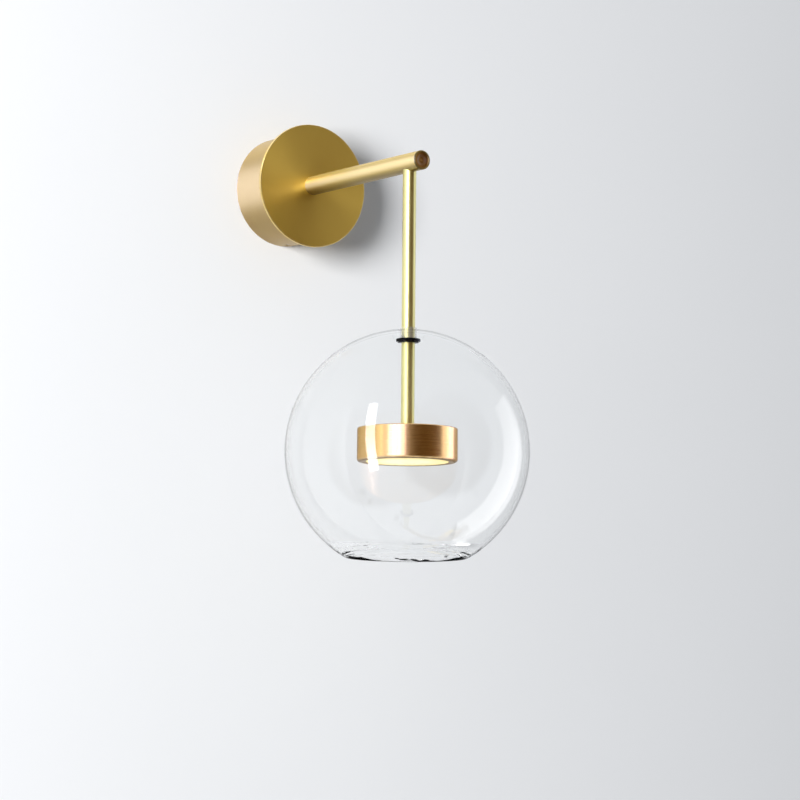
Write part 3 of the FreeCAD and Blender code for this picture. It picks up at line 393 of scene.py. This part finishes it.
def satin_brass(name, colour, dark, axis, centre, edges, roughness=0.30, stretch=0.6, dome=0.0, lacquer=0.35,
                underside=(-1.0, -1.1), end=(9.0, 9.1), edge_tint=(1, 1, 1, 1)):
    """Turned, lacquered brass: rings round the axis, faint patina clouds, pale edges of wear and painted highlight.

    Edges are rings, each given by its radius and its place along the axis, in metres. A spun face is never quite
    flat: its height falls by dome * radius squared. Below the two heights of the underside, and past the two places
    of the end, the brass is painted darker, as painted shade. The edge tint is the metal's colour where it is seen
    almost edge-on.
    """
    material, tree, shader, output, place = new_finish(name)
    arm = vector_calc(tree, "SUBTRACT", place, centre)
    along = vector_calc(tree, "DOT_PRODUCT", arm, axis)
    off_axis = vector_calc(tree, "SUBTRACT", arm, vector_calc(tree, "SCALE", axis, along))
    radius = vector_calc(tree, "LENGTH", off_axis)
    rings = noise(tree, calc(tree, "ADD", along, radius), 7000.0, 2.0)
    clouds = noise(tree, place, 22.0, 4.0)
    grain = noise(tree, place, 1400.0, 2.0)
    # Pale lines along the listed edges: partly polished wear, partly a painted highlight on the edge's rounding.
    wear_and_highlight = 0.0
    for edge_radius, edge_place in edges:
        gap = calc(tree, "POWER", calc(tree, "SUBTRACT", radius, edge_radius), 2.0)
        step = calc(tree, "POWER", calc(tree, "SUBTRACT", along, edge_place), 2.0)
        distance = calc(tree, "SQRT", calc(tree, "ADD", gap, step))
        wear_and_highlight = calc(tree, "MAXIMUM", wear_and_highlight, ramp(tree, distance, 0.0004, 0.0016, 1.0, 0.0))
    wear_and_highlight = calc(tree, "MULTIPLY", wear_and_highlight, ramp(tree, noise(tree, place, 160.0), 0.35, 0.6, 0.35, 1.0))
    tone = tint(tree, ramp(tree, clouds, 0.35, 0.75, 0.0, 0.55), colour, dark)
    # Painted shade: darker brass below the underside's heights and past the end's places.
    painted_shade = ramp(tree, vector_calc(tree, "DOT_PRODUCT", place, ROD_AXIS), *underside, 0.0, 0.75)
    painted_shade = calc(tree, "MAXIMUM", painted_shade, ramp(tree, along, *end, 0.0, 0.75))
    tone = tint(tree, painted_shade, tone, [0.35 * part for part in dark[:3]] + [1])
    pale = [min(1.0, 0.35 + 0.75 * part) for part in colour[:3]] + [1]
    put(tree, shader.inputs["Base Color"], tint(tree, calc(tree, "MULTIPLY", wear_and_highlight, 0.5), tone, pale))
    shader.inputs["Metallic"].default_value = 1.0
    shader.inputs["Specular Tint"].default_value = edge_tint
    rough = calc(tree, "ADD", ramp(tree, rings, 0.3, 0.7, roughness - 0.04, roughness + 0.05),
                 ramp(tree, clouds, 0.3, 0.7, -0.02, 0.03))
    put(tree, shader.inputs["Roughness"], calc(tree, "SUBTRACT", rough, calc(tree, "MULTIPLY", wear_and_highlight, 0.08)))
    shader.inputs["Anisotropic"].default_value = stretch
    shader.inputs["Anisotropic Rotation"].default_value = 0.25
    put(tree, shader.inputs["Tangent"], vector_calc(tree, "NORMALIZE", vector_calc(
        tree, "CROSS_PRODUCT", axis, off_axis)))
    shader.inputs["Coat Weight"].default_value = lacquer
    shader.inputs["Coat Roughness"].default_value = 0.25
    crown = bump(tree, calc(tree, "MULTIPLY", calc(tree, "POWER", radius, 2.0), -dome), 1.0, 1.0)
    relief = calc(tree, "ADD", rings, calc(tree, "MULTIPLY", grain, 0.4))
    put(tree, shader.inputs["Normal"], bump(tree, relief, 0.00002, 0.12, over=crown))
    return material


ARM_AXIS = (0.0, -1.0, 0.0)
ROD_PLACE = (0.0, -0.195, 0.0)
drum_brass = satin_brass("drum_brass", (0.60, 0.42, 0.14, 1), (0.54, 0.37, 0.11, 1), ARM_AXIS, (0, 0, 0),
                         [(0.0465, 0.0)], roughness=0.49, stretch=0.92, lacquer=0.6)
cover_brass = satin_brass("cover_brass", (0.81, 0.59, 0.13, 1), (0.76, 0.54, 0.115, 1), ARM_AXIS, (0, 0, 0),
                          [(0.0525, 0.048), (0.0525, 0.046)], roughness=0.46, stretch=0.60, dome=0.5)
# The arm gets painted shade along its underside and at its far end.
arm_brass = satin_brass("arm_brass", (0.74, 0.55, 0.17, 1), (0.69, 0.50, 0.14, 1), ARM_AXIS, (0, 0, 0),
                        [], roughness=0.45, stretch=0.88, lacquer=0.6, underside=(-0.0035, -0.0075),
                        end=(0.2122, 0.2127))
rod_brass = satin_brass("rod_brass", (0.81, 0.76, 0.35, 1), (0.76, 0.70, 0.29, 1), ROD_AXIS, ROD_PLACE, [],
                        roughness=0.40, stretch=0.5)
# The end plug's dark brown stands for the shade on the arm's end face: painted shade.
plug_brass = satin_brass("plug_brass", (0.42, 0.22, 0.05, 1), (0.30, 0.15, 0.035, 1), ARM_AXIS, (0, 0, 0),
                         [(0.0035, 0.2120)], roughness=0.38)


def dress(node, material):
    """Gives a node of the frame its finish."""
    nodes[node].material_slots[0].material = material
    print("dressed", node, "with", material.name)


dress("canopy", drum_brass)
dress("canopy_cover", cover_brass)
dress("arm_tube", arm_brass)
dress("rod_tube", rod_brass)
dress("arm_end_plug", plug_brass)

# %% [markdown]
# ## Turned outlines
#
# A turned piece is an outline swung round the rod's line. The outline is written as corners, each with the radius
# of its rounding. A Bevel modifier could round the edges of a plain ring, but the outline keeps the radii exact.
# Short straight pieces beside each rounding keep the flat faces flat under smooth shading.

# %% Outline and lathe
def rounded(corners, radii, steps=8, hold=0.3 * MM):
    """Closed outline with its corners rounded, as an array of points.

    An arc of radius r touches both runs at r / tan(half the corner's angle) from the corner. Its points turn evenly
    from the first touching point to the last about a centre on the corner's bisector.
    """
    corners = np.asarray(corners, float)
    radii = np.asarray(radii, float)[:, None]
    before = np.roll(corners, 1, axis=0) - corners
    after = np.roll(corners, -1, axis=0) - corners
    before /= np.linalg.norm(before, axis=1, keepdims=True)
    after /= np.linalg.norm(after, axis=1, keepdims=True)
    half = 0.5 * np.arccos(np.sum(before * after, axis=1, keepdims=True))
    middle = before + after
    centre = corners + middle / np.linalg.norm(middle, axis=1, keepdims=True) * radii / np.sin(half)
    first = corners + before * radii / np.tan(half)
    last = corners + after * radii / np.tan(half)
    turn = (np.pi - 2 * half)[:, None]
    share = np.linspace(0, 1, steps)[None, :, None]
    arc = centre[:, None] + (np.sin((1 - share) * turn) * (first - centre)[:, None]
                             + np.sin(share * turn) * (last - centre)[:, None]) / np.sin(turn)
    held = [(first + before * hold)[:, None], arc, (last + after * hold)[:, None]]
    return np.concatenate(held, axis=1).reshape(-1, 2)


def turned(outline, columns=192):
    """Grid of an outline swung round the rod's line: x = r cos t, y = rod's y + r sin t, z = height."""
    angle = np.linspace(0, 2 * np.pi, columns, endpoint=False)[None, :]
    radius, height = outline[:, :1], outline[:, 1:]
    return np.stack([radius * np.cos(angle), ROD_PLACE[1] + radius * np.sin(angle),
                     height + 0 * angle], axis=-1)


def finish_piece(piece, material, body, node):
    """Gives a new piece its finish, body and slot, and lets it stand for a node of the frame."""
    piece.data.materials.append(material)
    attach(piece, body)
    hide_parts(node)


print("lathe ready")

# %% [markdown]
# ## Lamp head
#
# The head is a turned brass cup with a soft top edge and a rounder rim. A brass ring is screwed into its mouth. The
# gap between the two is only a hair wide, and shows as a dark line, so both get small roundings of their own.

# %% Lamp head
HEAD_TOP, HEAD_LOW = -219 * MM, -246.5 * MM
HEAD_RADIUS, HEAD_INSIDE = 41 * MM, 38 * MM
cup_outline = rounded(
    [(HEAD_INSIDE, HEAD_LOW), (HEAD_RADIUS, HEAD_LOW), (HEAD_RADIUS, HEAD_TOP), (5.2 * MM, HEAD_TOP),
     (5.2 * MM, HEAD_TOP - 2.5 * MM), (HEAD_INSIDE, HEAD_TOP - 2.5 * MM)],
    [0.25 * MM, 2.2 * MM, 1.0 * MM, 0.2 * MM, 0.2 * MM, 0.3 * MM])
lamp_cup = grid_piece("lamp_cup", turned(cup_outline), wrap_rows=True)

LIP_RADIUS, LIP_TOP = 34 * MM, -244.9 * MM
BEZEL_TOP, BEZEL_BORE = -240.5 * MM, 36 * MM
bezel_outline = rounded(
    [(LIP_RADIUS, HEAD_LOW), (HEAD_INSIDE - 0.05 * MM, HEAD_LOW), (HEAD_INSIDE - 0.05 * MM, BEZEL_TOP),
     (BEZEL_BORE, BEZEL_TOP), (BEZEL_BORE, LIP_TOP), (LIP_RADIUS, LIP_TOP)],
    [0.3 * MM, 0.3 * MM, 0.2 * MM, 0.2 * MM, 0.2 * MM, 0.3 * MM])
lamp_bezel = grid_piece("lamp_bezel", turned(bezel_outline), wrap_rows=True)

HEAD_BRASS = (0.80, 0.51, 0.18, 1)
HEAD_BRASS_DARK = (0.75, 0.46, 0.145, 1)
# The head gets painted shade on its lowest rim.
head_brass = satin_brass("head_brass", HEAD_BRASS, HEAD_BRASS_DARK, ROD_AXIS, ROD_PLACE,
                         [(HEAD_RADIUS, HEAD_TOP), (HEAD_RADIUS - 0.6 * MM, HEAD_LOW + 0.6 * MM),
                          (LIP_RADIUS, HEAD_LOW)], roughness=0.24, stretch=0.7, lacquer=0.15,
                         underside=(HEAD_LOW + 1.3 * MM, HEAD_LOW + 0.3 * MM), edge_tint=(0.5, 0.42, 0.3, 1))
finish_piece(lamp_cup, head_brass, "fixture", "head_housing")
finish_piece(lamp_bezel, head_brass, "fixture", "bezel_ring")

# %% [markdown]
# ## Lit diffuser
#
# An opal disc, level with the ring round it, lit from behind by small chips. Its light is nearly even, a little
# whiter in the middle and warmer towards the edge. Emission on the Principled shader keeps it one simple finish.

# %% Lit diffuser
FACE_RADIUS, FLANGE_RADIUS, FLANGE_TOP = 33.8 * MM, 35.8 * MM, -242.9 * MM


def diffuser_grid():
    """Turned disc: a shallow crown of 0.15 mm on the face, the step up to the flange, and a flat back."""
    out = np.linspace(0, 1, 14)
    face = np.stack([out * (FACE_RADIUS - 0.3 * MM), HEAD_LOW + 0.15 * MM * out ** 2], axis=1)
    step = np.array([(FACE_RADIUS, HEAD_LOW + 0.45 * MM), (FACE_RADIUS, LIP_TOP), (FLANGE_RADIUS, LIP_TOP),
                     (FLANGE_RADIUS, FLANGE_TOP), (0, FLANGE_TOP)])
    return turned(np.concatenate([face, step]))


def lit_opal(name):
    """Opal plastic lit from behind: warm at the edge, whiter towards the middle."""
    material, tree, shader, output, place = new_finish(name)
    arm = vector_calc(tree, "SUBTRACT", place, ROD_PLACE)
    radius = vector_calc(tree, "LENGTH", vector_calc(tree, "MULTIPLY", arm, (1.0, 1.0, 0.0)))
    warmth = ramp(tree, radius, 0.012, 0.034)
    put(tree, shader.inputs["Base Color"], tint(tree, warmth, (0.40, 0.39, 0.34, 1), (0.40, 0.36, 0.24, 1)))
    put(tree, shader.inputs["Emission Color"], tint(tree, warmth, (0.80, 0.72, 0.42, 1), (0.80, 0.66, 0.20, 1)))
    shader.inputs["Emission Strength"].default_value = 1.0
    put(tree, shader.inputs["Roughness"], ramp(tree, noise(tree, place, 300.0), 0.3, 0.7, 0.30, 0.42))
    return material


lamp_face = grid_piece("lamp_face", diffuser_grid())
finish_piece(lamp_face, lit_opal("lit_opal"), "fixture", "diffuser")

# %% [markdown]
# ## Glass globe
#
# The globe is blown: its wall is thin, never quite even, and its mouth is melted to a smooth bead. The outline runs
# down the outside, round the bead, up the inside and through the drilled neck. A slow ripple, different inside and
# outside, pushes the two walls by a few hundredths of a millimetre, which bends reflections as blown glass does.

# %% Glass globe
GLOBE_RADIUS, GLOBE_INSIDE = 100 * MM, 97 * MM
GLOBE_HEIGHT = -238 * MM
BEAD_RADIUS, BEAD_DROP = 2.2 * MM, 84.4 * MM
HOLE_RADIUS, EDGE_BREAK = 6.8 * MM, 0.7 * MM
NECK_LAND, LAND_RADIUS, LAND_SLOPE = 92.5 * MM, 12 * MM, 1.6 * MM
BETWEEN_WALLS = 98.5 * MM
RIPPLE = 0.05 * MM


def arc(first, last, radius, centre, steps):
    """Points of a circle from one angle to another, measured from straight out towards up."""
    angle = np.linspace(first, last, steps)
    return np.stack([centre[0] + radius * np.cos(angle), centre[1] + radius * np.sin(angle)], axis=1)


def globe_outline():
    """Outline of the glass: inside wall downwards, bead, outside wall upwards, neck.

    The bead touches the outside of the ball, and meets the inside where both are as far from their own centres.
    """
    far = GLOBE_RADIUS - BEAD_RADIUS
    fall = math.asin(BEAD_DROP / far)
    bead = (far * math.cos(fall), -BEAD_DROP)
    meet = (GLOBE_INSIDE ** 2 - BEAD_RADIUS ** 2 + far ** 2) / (2 * far)
    inside_fall = fall - math.acos(meet / GLOBE_INSIDE)
    inside_point = GLOBE_INSIDE * np.array([math.cos(inside_fall), -math.sin(inside_fall)])
    bead_start = math.atan2(inside_point[1] - bead[1], inside_point[0] - bead[0])
    slope_end = LAND_RADIUS + LAND_SLOPE
    hole_top = math.sqrt(GLOBE_RADIUS ** 2 - (HOLE_RADIUS + EDGE_BREAK) ** 2)
    inside = arc(math.acos(slope_end / GLOBE_INSIDE), -inside_fall, GLOBE_INSIDE, (0, 0), 130)
    rim = arc(bead_start, 2 * math.pi - fall, BEAD_RADIUS, bead, 26)
    outside = arc(-fall, math.acos((HOLE_RADIUS + EDGE_BREAK) / GLOBE_RADIUS), GLOBE_RADIUS, (0, 0), 140)
    neck = np.array([(HOLE_RADIUS, hole_top - EDGE_BREAK), (HOLE_RADIUS, NECK_LAND + EDGE_BREAK),
                     (HOLE_RADIUS + EDGE_BREAK, NECK_LAND), (LAND_RADIUS, NECK_LAND)])
    return np.concatenate([inside, rim[1:-1], outside, neck])


def globe_grid():
    """Turned outline whose points move out by a sum of slow waves in height and angle, fading near the neck."""
    outline = globe_outline()
    grid = turned(outline + [0, GLOBE_HEIGHT], columns=256)
    centre = np.array([0, ROD_PLACE[1], GLOBE_HEIGHT])
    outwards = (grid - centre) / np.linalg.norm(grid - centre, axis=-1, keepdims=True)
    turn = np.arctan2(grid[..., 1] - ROD_PLACE[1], grid[..., 0])
    rise = (grid[..., 2] - GLOBE_HEIGHT) / GLOBE_RADIUS
    inner = np.linalg.norm(grid - centre, axis=-1) < BETWEEN_WALLS
    waves = np.where(inner, np.sin(2 * turn + 2.1 * rise + 0.8) + 0.6 * np.sin(3 * turn - 3.7 * rise),
                     0.7 * np.sin(2 * turn - 1.6 * rise + 2.2))
    fade = np.clip((0.97 - np.abs(rise)) / 0.2, 0, 1) * np.clip((0.80 - np.abs(rise)) / 0.1, 0, 1)
    return grid - outwards * (RIPPLE * (waves + 1.8) * 0.5 * fade)[..., None]


# %% [markdown]
# Clear glass is a finish of its own. It bends light less and less over the upper half, down to hardly at all at the
# neck, so that the black ring is seen clear and dark through it. At the rim, which would otherwise gather only the
# dim front of the room, the bending varies and gives streaks. One index of refraction for all would be simpler, but
# the picture shows the ring sharp and the rim streaked.

# %% Clear glass
GLASS_BEND, NECK_LOSS = 1.52, 0.518
NECK_FROM, NECK_TO = -0.270, -0.155
RIM_FROM, RIM_TO = -0.314, -0.319


def clear_glass(name):
    """Clear glass with the faintest breath of haze. Shadow rays pass it, so that lamps shine through.

    Its index of refraction falls evenly with height towards the neck and follows stretched noise at the rim. Where
    the outer wall is seen edge-on, its colour goes almost black, less so near the neck: a painted dark outline.
    """
    material, tree, shader, output, place = new_finish(name)
    put(tree, shader.inputs["Roughness"], ramp(tree, noise(tree, place, 40.0), 0.55, 0.75, 0.0, 0.02))
    height = vector_calc(tree, "DOT_PRODUCT", place, ROD_AXIS)
    stretched = vector_calc(tree, "MULTIPLY", vector_calc(tree, "ADD", place, (0.5, 0.9, 0.9)), (1.0, 1.0, 7.0))
    streaks = ramp(tree, noise(tree, stretched, 55.0, 2.0), 0.54, 0.72, 1.06, 1.34)
    near_rim = ramp(tree, height, RIM_FROM, RIM_TO)
    near_neck = ramp(tree, height, NECK_FROM, NECK_TO, smooth=False)
    from_centre = vector_calc(tree, "SUBTRACT", place, (0, ROD_PLACE[1], GLOBE_HEIGHT))
    outside = ramp(tree, vector_calc(tree, "LENGTH", from_centre), BETWEEN_WALLS - 0.2 * MM, BETWEEN_WALLS + 0.2 * MM)
    # Painted shade: a dark outline where the outer wall is seen edge-on.
    facing = tree.nodes.new("ShaderNodeLayerWeight").outputs["Facing"]
    painted_dark_outline = calc(tree, "MULTIPLY", outside, ramp(tree, facing, 0.78, 0.89))
    painted_dark_outline = calc(tree, "MULTIPLY", painted_dark_outline, ramp(tree, near_neck, 0.0, 1.0, 1.0, 0.3))
    put(tree, shader.inputs["Base Color"], tint(tree, painted_dark_outline, (0.985, 0.99, 0.99, 1), (0.08, 0.083, 0.088, 1)))
    change = calc(tree, "MULTIPLY", near_rim, calc(tree, "SUBTRACT", streaks, GLASS_BEND))
    bend = calc(tree, "ADD", change, GLASS_BEND)
    put(tree, shader.inputs["IOR"], calc(tree, "SUBTRACT", bend, calc(tree, "MULTIPLY", near_neck, NECK_LOSS)))
    shader.inputs["Transmission Weight"].default_value = 1.0
    mix = tree.nodes.new("ShaderNodeMixShader")
    put(tree, mix.inputs[0], tree.nodes.new("ShaderNodeLightPath").outputs["Is Shadow Ray"])
    put(tree, mix.inputs[1], shader.outputs[0])
    put(tree, mix.inputs[2], tree.nodes.new("ShaderNodeBsdfTransparent").outputs[0])
    put(tree, output.inputs["Surface"], mix.outputs[0])
    return material


glass_globe = grid_piece("glass_globe", globe_grid(), wrap_rows=True)
finish_piece(glass_globe, clear_glass("blown_glass"), "globe_ball", "globe")

# %% [markdown]
# ## Sleeve and ring under the glass
#
# A clear sleeve keeps the glass off the rod, and a black rubber ring with a round edge carries the neck. The ring
# is small but the darkest thing in the picture, so it gets its own rounding and a slight sheen.

# %% Sleeve and ring
SLEEVE_LOW, SLEEVE_TOP = -145.5 * MM, -136.4 * MM
sleeve_outline = rounded([(5.6 * MM, SLEEVE_LOW), (6.7 * MM, SLEEVE_LOW), (6.7 * MM, SLEEVE_TOP),
                          (5.6 * MM, SLEEVE_TOP)], [0.2 * MM, 0.2 * MM, 0.35 * MM, 0.35 * MM], hold=0.1 * MM)
clear_sleeve = grid_piece("clear_sleeve", turned(sleeve_outline, 96), wrap_rows=True)

RING_LOW, RING_TOP = -148.1 * MM, -145.55 * MM
ring_outline = rounded([(5.55 * MM, RING_LOW), (10 * MM, RING_LOW), (10 * MM, RING_TOP), (5.55 * MM, RING_TOP)],
                       [0.3 * MM, 0.7 * MM, 0.7 * MM, 0.3 * MM], hold=0.1 * MM)
black_ring = grid_piece("black_ring", turned(ring_outline, 128), wrap_rows=True)


def plain_finish(name, colour, shade, roughness, metal=0.0, grain=500.0, relief=0.00003, sheen=0.5):
    """Finish for small parts: clouds between two tones, a grain that changes roughness and a fine relief."""
    material, tree, shader, output, place = new_finish(name)
    clouds = noise(tree, place, 60.0)
    grains = noise(tree, place, grain)
    put(tree, shader.inputs["Base Color"], tint(tree, ramp(tree, clouds, 0.3, 0.7), colour, shade))
    shader.inputs["Metallic"].default_value = metal
    put(tree, shader.inputs["Roughness"], ramp(tree, grains, 0.3, 0.7, roughness - 0.06, roughness + 0.06))
    shader.inputs["Specular IOR Level"].default_value = sheen
    put(tree, shader.inputs["Normal"], bump(tree, grains, relief, 0.25))
    return material


black_rubber = plain_finish("black_rubber", (0.002, 0.002, 0.0025, 1), (0.004, 0.004, 0.0045, 1), 0.14, sheen=0.12)
finish_piece(black_ring, black_rubber, "fixture", "globe_washer")


def clear_silicone(name):
    """Milky-clear silicone that lets lamps through."""
    material, tree, shader, output, place = new_finish(name)
    clouds = noise(tree, place, 300.0)
    put(tree, shader.inputs["Base Color"], tint(tree, clouds, (0.97, 0.97, 0.96, 1), (0.94, 0.94, 0.92, 1)))
    put(tree, shader.inputs["Roughness"], ramp(tree, clouds, 0.3, 0.7, 0.08, 0.16))
    shader.inputs["IOR"].default_value = 1.41
    shader.inputs["Transmission Weight"].default_value = 0.95
    mix = tree.nodes.new("ShaderNodeMixShader")
    put(tree, mix.inputs[0], tree.nodes.new("ShaderNodeLightPath").outputs["Is Shadow Ray"])
    put(tree, mix.inputs[1], shader.outputs[0])
    put(tree, mix.inputs[2], tree.nodes.new("ShaderNodeBsdfTransparent").outputs[0])
    put(tree, output.inputs["Surface"], mix.outputs[0])
    return material


finish_piece(clear_sleeve, clear_silicone("clear_silicone"), "globe_carrier", "globe_bush")

# %% [markdown]
# ## Parts behind the canopy and inside the head
#
# Strap, screws, driver, terminal block and wires show from behind or not at all. Their nodes already have the right
# shape, so each only gets a finish of its kind.

# %% Inner parts
STEEL = plain_finish("zinc_steel", (0.55, 0.56, 0.57, 1), (0.46, 0.47, 0.49, 1), 0.34, metal=1.0, grain=900.0)
MACHINED = plain_finish("raw_brass", (0.72, 0.52, 0.20, 1), (0.62, 0.43, 0.15, 1), 0.30, metal=1.0, grain=1500.0)
TINNED = plain_finish("tinned_copper", (0.70, 0.68, 0.65, 1), (0.60, 0.58, 0.55, 1), 0.38, metal=1.0)
BLACKENED = plain_finish("black_steel", (0.035, 0.035, 0.038, 1), (0.06, 0.06, 0.062, 1), 0.42, metal=1.0)
ALUMINIUM = plain_finish("plate_aluminium", (0.78, 0.79, 0.80, 1), (0.70, 0.71, 0.72, 1), 0.32, metal=1.0)
BOARD = plain_finish("board_white", (0.86, 0.86, 0.84, 1), (0.82, 0.82, 0.80, 1), 0.45)
CHIP = plain_finish("chip_yellow", (0.90, 0.66, 0.08, 1), (0.84, 0.58, 0.06, 1), 0.30)
NYLON = plain_finish("white_nylon", (0.80, 0.80, 0.77, 1), (0.74, 0.74, 0.71, 1), 0.48)
CASE = plain_finish("driver_white", (0.76, 0.76, 0.74, 1), (0.70, 0.70, 0.68, 1), 0.55, grain=1200.0)
FOAM = plain_finish("grey_foam", (0.18, 0.185, 0.19, 1), (0.12, 0.125, 0.13, 1), 0.92, grain=2200.0, relief=0.0002)
BROWN = plain_finish("wire_brown", (0.075, 0.028, 0.012, 1), (0.06, 0.022, 0.010, 1), 0.36)
BLUE = plain_finish("wire_blue", (0.012, 0.055, 0.30, 1), (0.010, 0.045, 0.25, 1), 0.36)
SHEATH = plain_finish("lead_white", (0.72, 0.72, 0.70, 1), (0.66, 0.66, 0.64, 1), 0.40)


def earth_wire(name):
    """Green insulation with a yellow stripe that winds round the lead."""
    material, tree, shader, output, place = new_finish(name)
    wave = tree.nodes.new("ShaderNodeTexWave")
    wave.bands_direction = "DIAGONAL"
    wave.inputs["Scale"].default_value = 95.0
    put(tree, wave.inputs["Vector"], place)
    stripe = ramp(tree, wave.outputs[0], 0.45, 0.55)
    put(tree, shader.inputs["Base Color"], tint(tree, stripe, (0.03, 0.20, 0.03, 1), (0.75, 0.60, 0.02, 1)))
    put(tree, shader.inputs["Roughness"], ramp(tree, noise(tree, place, 600.0), 0.3, 0.7, 0.30, 0.42))
    return material


EARTH = earth_wire("wire_earth")
INNER_PARTS = {
    STEEL: ["wall_bracket", "arm_lock_washer", "head_lock_washer", "earth_screw", "board_screws"],
    MACHINED: ["arm_nipple", "arm_lock_nut", "arm_base_plug", "arm_tee", "terminal_clamps", "terminal_screws"],
    TINNED: ["earth_tag"],
    BLACKENED: ["globe_clip", "canopy_grub_screws"],
    black_rubber: ["cable_bush"],
    ALUMINIUM: ["heat_sink"],
    BOARD: ["led_board"],
    CHIP: ["led_chips"],
    NYLON: ["terminal_block", "board_connector", "spacer_ring"],
    CASE: ["driver_case"],
    FOAM: ["driver_pad"],
    BROWN: ["live_lead"],
    BLUE: ["neutral_lead"],
    EARTH: ["earth_lead"],
    SHEATH: ["led_lead"],
}
for material, members in INNER_PARTS.items():
    for node in members:
        dress(node, material)

# %% [markdown]
# ## What each lamp lights
#
# A photographer holds cards in front of the lamps, so that each lights only what it is meant for. Here a lamp gets a
# list instead: the head, the canopy with the arm, the rod, the disc and the glass each have their own. Light from the
# right would flatten the canopy's disc, so it stays on the head and the globe. The key light's list says what throws
# a shadow: the canopy does, close behind itself. Rod and head hang so far from the wall that their shadows would
# only be smudges beside the globe.

# %% Lists for the lamps
def listed(name, pieces):
    """Collection of pieces that isn't part of the scene itself."""
    group = bpy.data.collections.new(name)
    for piece in pieces:
        group.objects.link(piece)
    return group


canopy_list = listed("canopy_pieces", [nodes["canopy"], nodes["canopy_cover"]])
brass_list = listed("brass_pieces", [nodes["canopy"], nodes["canopy_cover"], nodes["arm_tube"],
                                     nodes["arm_end_plug"], nodes["rod_tube"], lamp_cup, lamp_bezel])
soft_key.light_linking.blocker_collection = canopy_list
head_list = listed("head_pieces", [lamp_cup, lamp_bezel])
arm_list = listed("arm_pieces", [nodes["canopy"], nodes["arm_tube"], nodes["arm_end_plug"]])
rod_list = listed("rod_pieces", [nodes["rod_tube"]])
for lamps, pieces in ((head_lamps, head_list), (canopy_lamps, arm_list), (rod_lamps, rod_list)):
    for lamp in lamps:
        lamp.light_linking.receiver_collection = pieces
disc_box.light_linking.receiver_collection = listed("disc_pieces", [nodes["canopy_cover"]])
top_panel.light_linking.receiver_collection = brass_list
right_panel.light_linking.receiver_collection = listed("ring_and_head", [lamp_cup, lamp_bezel, black_ring])
left_strip.light_linking.receiver_collection = listed("glass_pieces", [glass_globe, clear_sleeve])
right_glow.light_linking.receiver_collection = left_strip.light_linking.receiver_collection

# %% [markdown]
# ## Final update
#
# The view layer is brought up to date.

# %% Update
bpy.context.view_layer.update()
